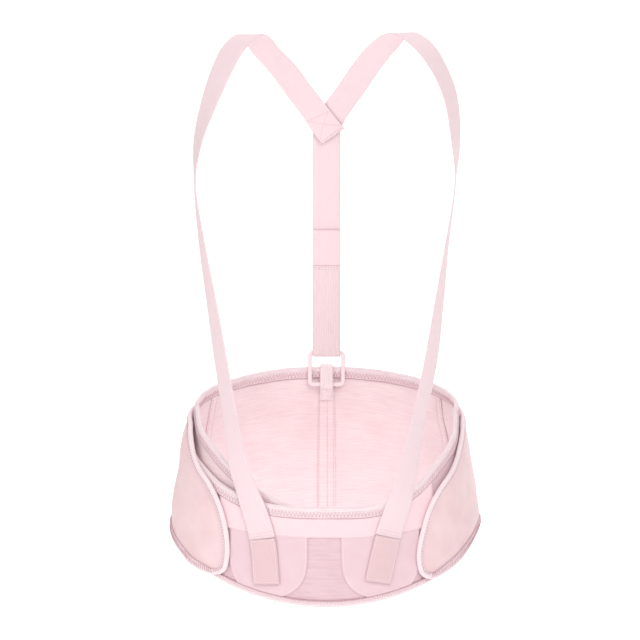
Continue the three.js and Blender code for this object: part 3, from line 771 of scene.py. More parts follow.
def puckered(profile, outer_count, travel):
    """The tape's section with the fine gathers that sewing leaves, at a distance along it."""
    depth = bpy.context.scene.belt_cloth.pucker
    pitch = bpy.context.scene.belt_thread.zigzag_pitch
    middle = profile[:, 0].mean()
    wave = depth * np.sin(2 * math.pi * travel / pitch)
    side = np.sign(profile[:, 0] - middle)
    weight = (np.arange(len(profile)) < outer_count) * np.clip(-profile[:, 1] / GATHER_FADE, 0, 1)
    return side * weight * wave


def tape_mesh(sections, around, travel):
    uv = np.stack(np.broadcast_arrays(around[None, :], travel[:, None]), -1)
    return sweep(sections, uv)


def edge_tape(name, turns, edge, lift, leg, beyond, material, slot="binding"):
    """Tape folded over a rim (beyond = 1) or a hem (beyond = -1) that runs round the body."""
    pitch = bpy.context.scene.belt_thread.zigzag_pitch
    length = abs(turns[-1] - turns[0]) * HIP_HALF_WIDTH
    fine = np.linspace(turns[0], turns[-1], int(length / (pitch / GATHER_STEPS)))
    profile, around, outer_count = tape_section(leg, GAP)
    travel = (fine - fine[0]) * HIP_HALF_WIDTH
    sections = []
    for turn, gone in zip(fine, travel):
        out = lift(turn) + profile[:, 0] + puckered(profile, outer_count, gone)
        points, _ = lifted(turn, edge(turn) + beyond * profile[:, 1], out)
        sections.append(points)
    return make_piece(name, *tape_mesh(np.array(sections), around, travel), material, slot, [name])


# Sewing thread. A line is a pair of arrays: points and directions out of the cloth.


def line_travel(points):
    """Distance gone at each point of a polyline."""
    return np.concatenate([[0.0], np.cumsum(np.linalg.norm(np.diff(points, axis=0), axis=1))])


def points_along(points, travel, distances):
    """Values at given distances along a polyline, from those at its points."""
    return np.stack([np.interp(distances, travel, column) for column in points.T], -1)


def along_line(line, distances):
    points, outs = line
    travel = line_travel(points)
    return points_along(points, travel, distances), unit(points_along(outs, travel, distances))


def zigzag(low, high):
    """Stitches that go from one line to the other and back."""
    pitch = bpy.context.scene.belt_thread.zigzag_pitch
    low_end, high_end = line_travel(low[0])[-1], line_travel(high[0])[-1]
    count = max(2, int(low_end / pitch))
    share = np.linspace(0.0, 1.0, 2 * count + 1)
    near, near_out = along_line(low, share * low_end)
    far, far_out = along_line(high, share * high_end)
    even = (np.arange(2 * count + 1) % 2 == 0)[:, None]
    spots = np.where(even, near, far)
    outs = np.where(even, near_out, far_out)
    return spots[:-1], spots[1:], unit(outs[:-1] + outs[1:])


def dashes(line):
    """Straight stitches along a line."""
    thread = bpy.context.scene.belt_thread
    end = line_travel(line[0])[-1]
    count = max(1, int(end / (thread.dash + thread.rest)))
    start = (np.arange(count) + 0.5) * end / count - thread.dash / 2
    near, out = along_line(line, start)
    far, _ = along_line(line, start + thread.dash)
    return near, far, out


def slanted(low, high, pitch):
    """Slanting overlock stitches between two lines."""
    low_end, high_end = line_travel(low[0])[-1], line_travel(high[0])[-1]
    count = max(2, int(low_end / pitch))
    share = (np.arange(count) + OVERLOCK_LEAD) / count
    near, out = along_line(low, share * low_end)
    far, _ = along_line(high, np.clip(share + OVERLOCK_SLANT / count, 0, 1) * high_end)
    return near, far, out


def sew(name, rows, material, slot="binding", radius_share=1.0):
    """One piece of thread stitches, each a short arch with its ends sunk in the cloth."""
    radius = bpy.context.scene.belt_thread.radius * radius_share
    near = np.concatenate([row[0] for row in rows])
    far = np.concatenate([row[1] for row in rows])
    out = np.concatenate([row[2] for row in rows])
    ahead = unit(far - near)
    side = unit(np.cross(ahead, out))
    rise = np.cross(side, ahead)
    angles = np.linspace(0.0, 2 * math.pi, THREAD_SIDES + 1)[:-1]
    rings = []
    for share, height, girth in STITCH_SECTIONS:
        centre = near + (far - near) * share + rise * radius * height
        for angle in angles:
            reach = side * math.cos(angle) + rise * math.sin(angle)
            rings.append(centre + reach * radius * girth)
    points = np.stack(rings, 1)
    count, sections = len(near), len(STITCH_SECTIONS)
    _, faces, _ = sweep(np.zeros((sections, THREAD_SIDES, 3)), np.zeros((sections, THREAD_SIDES, 2)))
    faces = np.concatenate([faces + sections * THREAD_SIDES * k for k in range(count)])
    shares = np.repeat([section[0] for section in STITCH_SECTIONS], THREAD_SIDES)
    travel = np.linalg.norm(far - near, axis=1)[:, None] * shares
    around = np.tile(np.tile(angles * radius, sections), (count, 1))
    uv = np.stack([around, travel], -1)
    return make_piece(name, points.reshape(-1, 3), faces, uv.reshape(-1, 2), material, slot)


def tape_zigzags(turns, edge, lift, leg, beyond, sides=(1, -1)):
    """A zigzag between two straight rows, on a tape's outer (1) and inner (-1) face."""
    half = bpy.context.scene.belt_thread.zigzag_width / 2
    middle = -ZIGZAG_PLACE * leg
    half = min(half, ZIGZAG_REACH * leg)
    rows = []
    for side in sides:
        reach = CLOTH + TAPE_REACH if side > 0 else -TAPE_REACH
        lines = []
        for across in (middle - half, middle + half):
            points, outs = lifted(turns, edge(turns) + beyond * across, lift(turns) + reach)
            lines.append((points, outs * side))
        rows += [zigzag(*lines), dashes(lines[0]), dashes(lines[1])]
    return rows


# Curves shared with the frame's solids.


def smooth_curve(points, shares):
    """Points on a centripetal curve through the given points, at shares of its length in rows."""
    points = np.asarray(points, dtype=float)
    last = len(points) - 1
    before = 2 * points[0] - points[1]
    beyond = 2 * points[last] - points[last - 1]
    padded = np.concatenate([[before], points, [beyond]])
    place = np.clip(np.asarray(shares, dtype=float), 0.0, 1.0) * last
    index = np.minimum(place.astype(int), last - 1)
    weight = (place - index)[:, None]
    x0, x1, x2, x3 = (padded[index + k] for k in range(4))

    def knot(a, b):
        return np.sqrt(np.linalg.norm(a - b, axis=1))[:, None]

    d1 = knot(x1, x2)
    d0, d2 = knot(x0, x1), knot(x2, x3)
    t1 = ((x1 - x0) / d0 - (x2 - x0) / (d0 + d1) + (x2 - x1) / d1) * d1
    t2 = ((x2 - x1) / d1 - (x3 - x1) / (d1 + d2) + (x3 - x2) / d2) * d1
    c2 = -3 * x1 + 3 * x2 - 2 * t1 - t2
    c3 = 2 * x1 - 2 * x2 + t1 + t2
    return x1 + t1 * weight + c2 * weight**2 + c3 * weight**3


def ribbon(points, outs, width, thickness, crown=0.0):
    """Webbing along a line of points with its outer face turned to outs, and rounded selvedges."""
    ahead = unit(np.gradient(points, axis=0))
    outs = unit(outs - ahead * np.sum(outs * ahead, axis=1, keepdims=True))
    across = np.cross(ahead, outs)
    reach = np.sin(np.linspace(-0.5, 0.5, WEBBING_POINTS) * math.pi)
    spread = np.sign(reach) * np.abs(reach) ** SELVEDGE_SPREAD
    body_half = thickness / 2 * (1 - np.abs(spread) ** SELVEDGE_ROUNDNESS) ** 0.5
    lip = LIP_RISE * np.exp(-(((np.abs(spread) - LIP_PLACE) / LIP_SPREAD) ** 2))
    top = np.stack([spread * width / 2, body_half + lip * (np.abs(spread) < LIP_END)], 1)
    bottom = np.stack([spread[::-1][1:-1] * width / 2, -body_half[::-1][1:-1]], 1)
    profile = np.concatenate([top, bottom])
    bulge = crown * np.clip(-outs[:, 1], 0.0, None)[:, None]
    arch = bulge * (1 - (2 * profile[None, :, 0] / width) ** 2)
    sections = points[:, None, :] + across[:, None, :] * profile[None, :, 0, None]
    sections = sections + outs[:, None, :] * (profile[None, :, 1] + arch)[..., None]
    travel = line_travel(points)
    uv = np.stack(np.broadcast_arrays(profile[None, :, 0], travel[:, None]), -1)
    return sections, uv, across, outs


def ribbon_sheet(points, across, width):
    """The ribbon's middle as a grid with one row for each edge."""
    shift = across * width / 2
    return np.stack([points - shift, points, points + shift])


def face_lift(sideways, width, thickness, bulge=0.0):
    """How far a ribbon's crowned face lies off its middle line, at places across it."""
    return thickness / 2 + bulge * (1 - (2 * sideways / width) ** 2)


def cross_row(point, across, out, reach, count, width, thickness, bulge=0.0):
    """A row of straight stitches square across a ribbon's face."""
    sideways = np.linspace(-reach, reach, count)[:, None]
    line = point + across * sideways + out * face_lift(sideways, width, thickness, bulge)
    return dashes((line, np.repeat(out[None], count, 0)))


def even_line(points, pitch):
    """The same polyline with its points a pitch apart."""
    travel = line_travel(points)
    return points_along(points, travel, np.linspace(0.0, travel[-1], max(3, int(travel[-1] / pitch) + 1)))


# Materials.


class Graph:
    """Adds nodes to a tree and joins them, with numbers or sockets as inputs."""

    def __init__(self, tree):
        self.tree = tree

    def put(self, socket, value):
        if isinstance(value, bpy.types.NodeSocket):
            self.tree.links.new(value, socket)
        else:
            socket.default_value = value

    def node(self, kind, label, **values):
        made = self.tree.nodes.new(kind)
        made.label = label
        for name, value in values.items():
            setattr(made, name, value)
        return made

    def math(self, operation, label, *values):
        made = self.node("ShaderNodeMath", label, operation=operation)
        for socket, value in zip(made.inputs, values):
            self.put(socket, value)
        return made.outputs[0]

    def noise(self, label, vector, scale, detail=2.0, roughness=0.5):
        made = self.node("ShaderNodeTexNoise", label, noise_dimensions="3D")
        self.put(made.inputs["Vector"], vector)
        self.put(made.inputs["Scale"], scale)
        self.put(made.inputs["Detail"], detail)
        self.put(made.inputs["Roughness"], roughness)
        return made.outputs["Fac"]

    def bump(self, label, height, strength, distance):
        made = self.node("ShaderNodeBump", label)
        self.put(made.inputs["Height"], height)
        self.put(made.inputs["Strength"], strength)
        self.put(made.inputs["Distance"], distance)
        return made.outputs["Normal"]

    def clamp(self, label, value):
        made = self.node("ShaderNodeClamp", label)
        self.put(made.inputs["Value"], value)
        return made.outputs[0]

    def mix(self, label, share, first, second):
        """A colour between two others."""
        made = self.node("ShaderNodeMix", label, data_type="RGBA")
        for title, value in (("Factor", share), ("A", first), ("B", second)):
            self.put(made.inputs[title], value)
        return made.outputs["Result"]

    def effect(self, label, name, settings):
        """A shared effect's node with its own settings."""
        group = bpy.data.node_groups.get(name) or EFFECTS[name]()
        made = self.node("ShaderNodeGroup", label, node_tree=group)
        for title, value in settings.items():
            self.put(made.inputs[title], value)
        return made.outputs

    def cloth_place(self):
        made = self.node("ShaderNodeUVMap", "Cloth coordinates in millimetres", uv_map=UV_NAME)
        return made.outputs["UV"]

    def cloth_axes(self):
        """The cloth's place, and its two parts across and along."""
        place = self.cloth_place()
        split = self.node("ShaderNodeSeparateXYZ", "Across and along")
        self.put(split.inputs[0], place)
        return place, split.outputs["X"], split.outputs["Y"]

    def vector(self, label, x, y, z=0.0):
        made = self.node("ShaderNodeCombineXYZ", label)
        for socket, value in zip(made.inputs, (x, y, z)):
            self.put(socket, value)
        return made.outputs[0]


def new_effect(name, inputs, outputs=(("Height", "NodeSocketFloat"), ("Streaks", "NodeSocketFloat"))):
    """A node group with named sockets: the group, its graph, its settings and its results."""
    tree = bpy.data.node_groups.new(name, "ShaderNodeTree")
    for title, kind, value in inputs:
        socket = tree.interface.new_socket(name=title, in_out="INPUT", socket_type=kind)
        socket.default_value = value
    for title, kind in outputs:
        tree.interface.new_socket(name=title, in_out="OUTPUT", socket_type=kind)
    graph = Graph(tree)
    given = graph.node("NodeGroupInput", "Settings").outputs
    result = graph.node("NodeGroupOutput", "Results").inputs
    return tree, graph, given, result


def wave(graph, label, value, pitch):
    """A wave from 0 to 1 that repeats every pitch."""
    turns = graph.math("DIVIDE", label + " count", value, pitch)
    angle = graph.math("MULTIPLY", label + " angle", turns, 2 * math.pi)
    swing = graph.math("SINE", label + " swing", angle)
    return graph.math("MULTIPLY_ADD", label + " share", swing, 0.5, 0.5)


def knit_rows_effect():
    tree, graph, given, result = new_effect(
        "Knit_Rows",
        [
            ("Row Pitch", "NodeSocketFloat", 1.6),
            ("Loop Pitch", "NodeSocketFloat", 1.3),
            ("Unevenness", "NodeSocketFloat", 0.5),
        ],
    )
    uv, across, up = graph.cloth_axes()
    drift = graph.noise("Row drift", uv, 0.06, 1.0)
    shift = graph.math("MULTIPLY", "Row shift", drift, given["Unevenness"])
    height = graph.math("ADD", "Uneven height", up, shift)
    rows = wave(graph, "Rows", height, given["Row Pitch"])
    loops = wave(graph, "Loops", across, given["Loop Pitch"])
    both = graph.math("MULTIPLY", "Loops in rows", rows, loops)
    row_part = graph.math("MULTIPLY", "Row part", rows, 0.6)
    long_x = graph.math("MULTIPLY", "Streak length", across, 0.035)
    long_y = graph.math("MULTIPLY", "Streak height", up, 0.42)
    streaks = graph.noise("Streaks", graph.vector("Streak place", long_x, long_y), 1.0, 3.0, 0.6)
    clouds = graph.noise("Mottling", uv, 0.03, 3.0, 0.6)
    mottle = graph.math("MULTIPLY", "Mottling part", clouds, 0.4)
    mottled = graph.math("MULTIPLY_ADD", "Streaks and mottling", streaks, 0.6, mottle)
    graph.put(result["Height"], graph.math("MULTIPLY_ADD", "Knit height", both, 0.4, row_part))
    graph.put(result["Streaks"], mottled)
    return tree


def webbing_effect():
    tree, graph, given, result = new_effect(
        "Webbing_Ribs",
        [
            ("Rib Pitch", "NodeSocketFloat", 1.2),
            ("Pick Pitch", "NodeSocketFloat", 1.0),
            ("Half Width", "NodeSocketFloat", 15.0),
            ("Edge Shade", "NodeSocketFloat", 0.25),
        ],
    )
    _, across, up = graph.cloth_axes()
    ribs = wave(graph, "Ribs", across, given["Rib Pitch"])
    picks = wave(graph, "Picks", up, given["Pick Pitch"])
    crossed = graph.math("MULTIPLY", "Picks on ribs", ribs, picks)
    rib_part = graph.math("MULTIPLY", "Rib part", ribs, 0.55)
    long_x = graph.math("MULTIPLY", "Streak width", across, 0.9)
    long_y = graph.math("MULTIPLY", "Streak length", up, 0.06)
    streaks = graph.noise("Yarn streaks", graph.vector("Yarn place", long_x, long_y), 1.0, 3.0, 0.6)
    # Painted shade: the last stretch towards each edge is darkened into a dark line along the edges of
    # straps and tapes, and the Streaks result carries it with the streaks.
    from_middle = graph.math("ABSOLUTE", "Distance from the middle", across)
    start = graph.math("SUBTRACT", "Painted edge shade start", given["Half Width"], 1.6)
    selvedge = graph.clamp("Painted shade at the edges", graph.math("SUBTRACT", "Past the start", from_middle, start))
    shaded = graph.math("MULTIPLY_ADD", "Streaks and painted edge shade", selvedge, given["Edge Shade"], streaks)
    graph.put(result["Height"], graph.math("MULTIPLY_ADD", "Webbing height", crossed, 0.45, rib_part))
    graph.put(result["Streaks"], shaded)
    return tree


def nap_effect():
    tree, graph, given, result = new_effect(
        "Brushed_Nap",
        [("Fibre Scale", "NodeSocketFloat", 0.9), ("Cloud Scale", "NodeSocketFloat", 0.045)],
    )
    place = graph.cloth_place()
    graph.put(result["Height"], graph.noise("Fibres", place, given["Fibre Scale"], 4.0, 0.7))
    graph.put(result["Streaks"], graph.noise("Clouds", place, given["Cloud Scale"], 3.0, 0.55))
    return tree


def tone_effect():
    tree, graph, given, result = new_effect(
        "Cloth_Tone",
        [
            ("Yarn Colour", "NodeSocketColor", (0.8, 0.6, 0.6, 1.0)),
            ("Shade Colour", "NodeSocketColor", (0.6, 0.4, 0.4, 1.0)),
            ("Height", "NodeSocketFloat", 0.5),
            ("Streaks", "NodeSocketFloat", 0.5),
            ("Depth Share", "NodeSocketFloat", 0.4),
            ("Streak Share", "NodeSocketFloat", 0.5),
        ],
        [("Colour", "NodeSocketColor"), ("Roughness", "NodeSocketFloat")],
    )
    # Painted shade: where the weave's height is low, its hollows are darkened towards the shade colour.
    low = graph.math("SUBTRACT", "Depth of the weave", 1.0, given["Height"])
    deep = graph.math("MULTIPLY", "Painted hollow shade", low, given["Depth Share"])
    centred = graph.math("SUBTRACT", "Centred streaks", given["Streaks"], 0.42)
    streak = graph.math("MULTIPLY", "Streak part", centred, given["Streak Share"])
    shade = graph.clamp("Held shade", graph.math("ADD", "Shade", deep, streak))
    colour = graph.mix("Yarn to shade", shade, given["Yarn Colour"], given["Shade Colour"])
    graph.put(result["Colour"], colour)
    graph.put(result["Roughness"], graph.math("MULTIPLY_ADD", "Roughness", shade, 0.12, 0.82))
    return tree


EFFECTS = {
    "Knit_Rows": knit_rows_effect,
    "Webbing_Ribs": webbing_effect,
    "Brushed_Nap": nap_effect,
    "Cloth_Tone": tone_effect,
}
THREAD_WEAVE = {"Rib Pitch": 0.5, "Pick Pitch": 0.6, "Half Width": 9.0}
TAPE_WEAVE = {"Rib Pitch": 2.2, "Pick Pitch": 1.0}


def new_material(name):
    """A plain material, its graph and its shader."""
    material = bpy.data.materials.new(name)
    material.use_nodes = True
    return material, Graph(material.node_tree), material.node_tree.nodes["Principled BSDF"]


def cloth_material(name, weave, colour, settings, bump, depth, streak, sheen=0.35):
    """A cloth shader whose colour, roughness and bump come from one surface effect. Depth is the share of
    painted shade in the weave's hollows; streak is the share of the darker streaks, which on webbing and
    tape also carry painted edge shade.
    """
    found = bpy.data.materials.get(name)
    if found:
        return found
    material, graph, shader = new_material(name)
    colours = bpy.context.scene.belt_colours
    surface = graph.effect(weave, weave, settings)
    tone = graph.effect(
        "Tone",
        "Cloth_Tone",
        {
            "Yarn Colour": getattr(colours, colour),
            "Shade Colour": getattr(colours, colour + "_shade"),
            "Depth Share": depth,
            "Streak Share": streak,
            "Height": surface["Height"],
            "Streaks": surface["Streaks"],
        },
    )
    fuzz = graph.noise("Fibre fuzz", graph.cloth_place(), 2.2, 3.0)
    rise = graph.math("MULTIPLY_ADD", "Weave and fuzz", fuzz, 0.35, surface["Height"])
    graph.put(shader.inputs["Base Color"], tone["Colour"])
    graph.put(shader.inputs["Roughness"], tone["Roughness"])
    graph.put(shader.inputs["Normal"], graph.bump("Weave relief", rise, bump, 0.0004))
    shader.inputs["Sheen Weight"].default_value = sheen
    shader.inputs["Sheen Roughness"].default_value = 0.45
    shader.inputs["Sheen Tint"].default_value = (1.0, 0.9, 0.92, 1.0)
    shader.inputs["Specular IOR Level"].default_value = 0.25
    return material


def knit_cloth():
    settings = {"Row Pitch": 1.7, "Loop Pitch": 1.4, "Unevenness": 0.8}
    return cloth_material("Fine_Knit", "Knit_Rows", "knit", settings, bump=0.4, depth=0.35, streak=1.5)


def band_cloth():
    settings = {"Row Pitch": 1.5, "Loop Pitch": 1.2, "Unevenness": 1.2}
    return cloth_material("Band_Knit", "Knit_Rows", "band", settings, bump=0.55, depth=0.4, streak=1.7)


def loop_cloth():
    settings = {"Fibre Scale": 1.1, "Cloud Scale": 0.05}
    return cloth_material(
        "Loop_Cloth", "Brushed_Nap", "smooth", settings, bump=0.3, depth=0.25, streak=0.6, sheen=0.5
    )


def wing_cloth():
    settings = {"Fibre Scale": 1.0, "Cloud Scale": 0.03}
    return cloth_material("Wing_Cloth", "Brushed_Nap", "wing", settings, bump=0.45, depth=0.22, streak=1.5)


def patch_cloth():
    settings = {"Fibre Scale": 1.3, "Cloud Scale": 0.05}
    return cloth_material(
        "Patch_Cloth", "Brushed_Nap", "band", settings, bump=0.2, depth=0.3, streak=0.5, sheen=0.5
    )


def tape_cloth():
    # Its edge shade paints a dark shadow line along both edges of the tape, where it lies on the cloth.
    settings = {**TAPE_WEAVE, "Half Width": TAPE_HALF_WIDTH + 0.3, "Edge Shade": 1.5}
    return cloth_material(
        "Binding_Tape", "Webbing_Ribs", "tape", settings, bump=0.5, depth=0.25, streak=0.75
    )


def lit_tape():
    # A lighter copy of the binding tape: painted highlight on the lit wing edges and the ring tab, with a
    # fainter painted shadow line along its edges.
    settings = {**TAPE_WEAVE, "Half Width": TAPE_HALF_WIDTH + 0.7, "Edge Shade": 0.7}
    return cloth_material(
        "Pale_Tape", "Webbing_Ribs", "lit_tape", settings, bump=0.4, depth=0.2, streak=0.6
    )


def strap_cloth(name, colour, rib_pitch, pick_pitch, **looks):
    """Webbing as wide as the straps."""
    settings = {"Rib Pitch": rib_pitch, "Pick Pitch": pick_pitch, "Half Width": STRAP_WIDTH / 2}
    return cloth_material(name, "Webbing_Ribs", colour, settings, **looks)


def strap_webbing():
    return strap_cloth("Strap_Webbing", "webbing", 1.3, 1.1, bump=0.45, depth=0.3, streak=0.5)


def ribbed_elastic():
    return strap_cloth("Ribbed_Elastic", "elastic", 1.9, 1.2, bump=0.7, depth=0.5, streak=0.6)


def grip_cloth():
    return strap_cloth("Grip_Tab", "grip", 1.6, 1.3, bump=0.5, depth=0.35, streak=0.5)


def smooth_tab():
    return strap_cloth("Smooth_Tab", "smooth", 0.9, 0.9, bump=0.2, depth=0.2, streak=0.4)


def thread_material(name, colour):
    return cloth_material(name, "Webbing_Ribs", colour, THREAD_WEAVE, bump=0.3, depth=0.25, streak=0.3)


def thread_cloth():
    return thread_material("Sewing_Thread", "thread")


def seam_thread():
    return thread_material("Seam_Thread", "seam_thread")


def pale_thread():
    return thread_material("Pale_Thread", "pale_thread")


def ring_plastic():
    """Satin moulded plastic with a faint mottle and scuffs."""
    material, graph, shader = new_material("Ring_Plastic")
    colours = bpy.context.scene.belt_colours
    nap = graph.effect("Mottle", "Brushed_Nap", {"Fibre Scale": 0.6, "Cloud Scale": 0.12})
    share = graph.math("MULTIPLY", "Mottle share", nap["Streaks"], 0.35)
    colour = graph.mix("Mottled colour", share, colours.ring, colours.webbing_shade)
    rough = graph.math("MULTIPLY_ADD", "Scuffed roughness", nap["Height"], 0.25, 0.28)
    graph.put(shader.inputs["Base Color"], colour)
    graph.put(shader.inputs["Roughness"], rough)
    graph.put(shader.inputs["Normal"], graph.bump("Moulded surface", nap["Height"], 0.12, 0.0002))
    shader.inputs["Coat Weight"].default_value = 0.15
    shader.inputs["Coat Roughness"].default_value = 0.3
    return material


# Operators: one for each piece or group of pieces.


RIGHT_SEAM = math.radians(RIGHT_SEAM_TURN)
LEFT_SEAM = math.radians(LEFT_SEAM_TURN)
GAP_TURN = GAP / HIP_HALF_WIDTH


class BELT_OT_back_panel(bpy.types.Operator):
    """Back panel with its rim binding, hem stitching and three stay channels"""

    bl_idname = "belt.back_panel"
    bl_label = "Back panel"
    bl_options = {"REGISTER", "UNDO"}

    def execute(self, context):
        start, end = RIGHT_SEAM + GAP_TURN, LEFT_SEAM + 2 * math.pi - GAP_TURN
        turns = turn_steps(start, end)
        panel, grid = cloth_wall(
            "back_panel",
            turns,
            hem,
            lambda t: back_rim(t) - EDGE_INSET,
            on_body,
            CLOTH,
            knit_cloth(),
            "knit",
        )
        tape = edge_tape("back_rim_binding", turns, back_rim, on_body, RIM_TAPE_WIDTH, 1, tape_cloth())
        rows = tape_zigzags(turns, back_rim, on_body, RIM_TAPE_WIDTH, 1)
        rim_thread = sew("back_rim_stitches", rows, thread_cloth())
        rows = []
        for side, reach in ((1, CLOTH), (-1, 0.0)):
            for above in HEM_STITCH_RISES:
                points, outs = lifted(turns, hem(turns) + above, reach)
                rows.append(dashes((points, outs * side)))
        hem_thread = sew("back_hem_stitches", rows, thread_cloth(), "knit")
        sewn_on = [tape, rim_thread, hem_thread, *self.stays()]
        declare_sheet(panel, grid)
        return {"FINISHED"}

    def stays(self):
        made = []
        right = math.radians(STAY_TURN)
        table = [
            ("centre_stay_channel", math.pi, CENTRE_STAY_WIDTH, CENTRE_STAY_STITCHES),
            ("left_stay_channel", 2 * math.pi - right, SIDE_STAY_WIDTH, SIDE_STAY_STITCHES),
            ("right_stay_channel", right, SIDE_STAY_WIDTH, SIDE_STAY_STITCHES),
        ]
        for name, turn, width, offsets in table:
            made += self.stay(name, turn, width, offsets)
        return made

    def stay(self, name, turn, width, offsets):
        reach = float(body(turn, BACK_HEIGHT / 2)[4])
        half = width / 2 / reach
        turns = np.linspace(turn - half, turn + half, 11)

        def foot(at):
            return hem(at) + HEM_TAPE_WIDTH

        def top(at):
            return back_rim(at) - RIM_TAPE_WIDTH - GAP

        def inside(at):
            return np.full_like(at, -TAPE_REACH)

        def crown(_, at):
            across = np.clip(np.abs((at - turn) / half), 0, 1)
            groove = 1 - 0.5 * np.exp(-((across / STAY_GROOVE) ** 2))
            return -STAY_CROWN * (1 - across**4) * groove

        piece, _ = cloth_wall(name, turns, foot, top, inside, TAPE, knit_cloth(), "knit", crown)
        rows = []
        low, high = float(foot(turn)) + STAY_STITCH_FOOT, float(top(turn)) - STAY_STITCH_TOP
        heights = np.linspace(low, high, 60)
        for offset in offsets:
            # Seen from the front, the channel's right is the side of smaller turns.
            at = np.full_like(heights, turn - offset / reach)
            points, outs = lifted(at, heights, -TAPE_REACH + crown(0, at))
            rows.append(dashes((points, -outs)))
            rows.append(dashes(lifted(at, heights, CLOTH)))
        return [piece, sew(name + "_stitches", rows, thread_cloth(), "knit")]


class BELT_OT_end_band(bpy.types.Operator):
    """Inner end band that passes under the front band"""

    bl_idname = "belt.end_band"
    bl_label = "Inner end band"
    bl_options = {"REGISTER", "UNDO"}

    def execute(self, context):
        turns = turn_steps(LEFT_SEAM + GAP_TURN, math.radians(END_BAND_TURN))
        panel, grid = cloth_wall(
            "left_end_band",
            turns,
            lambda t: hem(t) + HEM_TAPE_WIDTH,
            lambda t: end_rim(t) - EDGE_INSET,
            on_body,
            CLOTH,
            knit_cloth(),
            "knit",
        )
        tape = edge_tape("left_end_binding", turns, end_rim, on_body, RIM_TAPE_WIDTH, 1, tape_cloth())
        rows = tape_zigzags(turns, end_rim, on_body, RIM_TAPE_WIDTH, 1)
        thread = sew("left_end_stitches", rows, thread_cloth())
        declare_sheet(panel, grid)
        return {"FINISHED"}


class BELT_OT_front_band(bpy.types.Operator):
    """Front band with its rim and hem bindings, yoke and two grip patches"""

    bl_idname = "belt.front_band"
    bl_label = "Front band"
    bl_options = {"REGISTER", "UNDO"}

    def execute(self, context):
        turns = turn_steps(math.radians(BAND_END_TURN), RIGHT_SEAM - GAP_TURN)
        panel, grid = cloth_wall(
            "front_band",
            turns,
            lambda t: hem(t) + EDGE_INSET,
            lambda t: band_rim(t) - EDGE_INSET,
            band_seat,
            CLOTH,
            band_cloth(),
            "front_knit",
        )
        rim = edge_tape("front_rim_binding", turns, band_rim, band_seat, RIM_TAPE_WIDTH, 1, tape_cloth())
        foot = edge_tape("front_hem_binding", turns, hem, band_seat, HEM_TAPE_WIDTH, -1, tape_cloth())
        rows = tape_zigzags(turns, band_rim, band_seat, RIM_TAPE_WIDTH, 1)
        rim_thread = sew("front_rim_stitches", rows, thread_cloth())
        rows = tape_zigzags(turns, hem, band_seat, HEM_TAPE_WIDTH, -1)
        foot_thread = sew("front_hem_stitches", rows, thread_cloth(), radius_share=HEM_THREAD)
        declare_sheet(panel, grid)
        self.yoke()
        self.patch("left_grip_patch", LEFT_PATCH_TURN)
        self.patch("right_grip_patch", RIGHT_PATCH_TURN)
        return {"FINISHED"}

    def yoke(self):
        turns = turn_steps(-math.radians(YOKE_TURN), math.radians(YOKE_TURN))
        panel, grid = cloth_wall(
            "front_yoke", turns, yoke_foot, yoke_top, trim_seat, TAPE, loop_cloth(), "loop_cloth"
        )
        rows = [dashes(lifted(turns, yoke_foot(turns) + YOKE_STITCH_RISE, trim_seat(turns) + TAPE))]
        thread = sew("front_yoke_stitches", rows, pale_thread(), "loop_cloth", FINE_THREAD)
        declare_sheet(panel, grid)

    def patch(self, name, centre):
        half = PATCH_HALF_WIDTH / BELLY_DEPTH
        middle = math.radians(centre)

        def drop(turn, inset=0.0):
            reach = half - inset / BELLY_DEPTH
            across = np.clip(np.abs((turn - middle) / reach), 0.0, 1.0)
            round_part = (1 - across**PATCH_ROUNDNESS) ** (1 / PATCH_ROUNDNESS)
            return PATCH_FOOT + inset + PATCH_ROUND_HEIGHT * (1 - round_part)

        def foot(turn):
            return np.maximum(hem(turn) + HEM_TAPE_WIDTH + GAP, drop(turn))

        def top(turn):
            return yoke_foot(turn) - GAP

        turns = middle + half * np.sin(np.linspace(-0.5, 0.5, 41) * math.pi)
        panel, grid = cloth_wall(name, turns, foot, top, trim_seat, TAPE, patch_cloth(), "loop_cloth")
        inset = PATCH_STITCH_INSET
        reach = half - inset / BELLY_DEPTH
        inner = middle + reach * np.sin(np.linspace(-0.5, 0.5, 121) * math.pi)
        low = np.maximum(hem(inner) + HEM_TAPE_WIDTH + GAP + inset, drop(inner, inset))
        tops = top(inner) - PATCH_STITCH_TOP
        at = np.concatenate([inner[:1], inner, inner[-1:]])
        outline = np.stack([at, np.concatenate([tops[:1], low, tops[-1:]])], -1)
        dense = np.linspace(0, len(outline) - 1, 600)
        at, height = points_along(outline, np.arange(len(outline)), dense).T
        rows = [dashes(lifted(at, height, trim_seat(at) + TAPE))]
        thread = sew(name + "_stitches", rows, pale_thread(), "loop_cloth", FINE_THREAD)
        declare_sheet(panel, grid)


def flat_spline(rows, side):
    """A wing's edge as a smooth plane curve, looked up by its share of length."""
    spots = np.array([(side * math.radians(t) * HIP_HALF_WIDTH, r * BACK_HEIGHT) for t, r in rows])
    last = len(spots) - 1
    place = np.linspace(0, last, 60 * last + 1)
    index = np.minimum(place.astype(int), last - 1)
    weight = (place - index)[:, None]
    p0 = spots[np.maximum(index - 1, 0)]
    p1, p2 = spots[index], spots[index + 1]
    p3 = spots[np.minimum(index + 2, last)]
    v0, v1 = (p2 - p0) / 2, (p3 - p1) / 2
    curve = (2 * p1 - 2 * p2 + v0 + v1) * weight**3
    curve = curve + (-3 * p1 + 3 * p2 - 2 * v0 - v1) * weight**2 + v0 * weight + p1
    travel = line_travel(curve)

    def at(share):
        return points_along(curve, travel, np.asarray(share, dtype=float) * travel[-1])

    return at


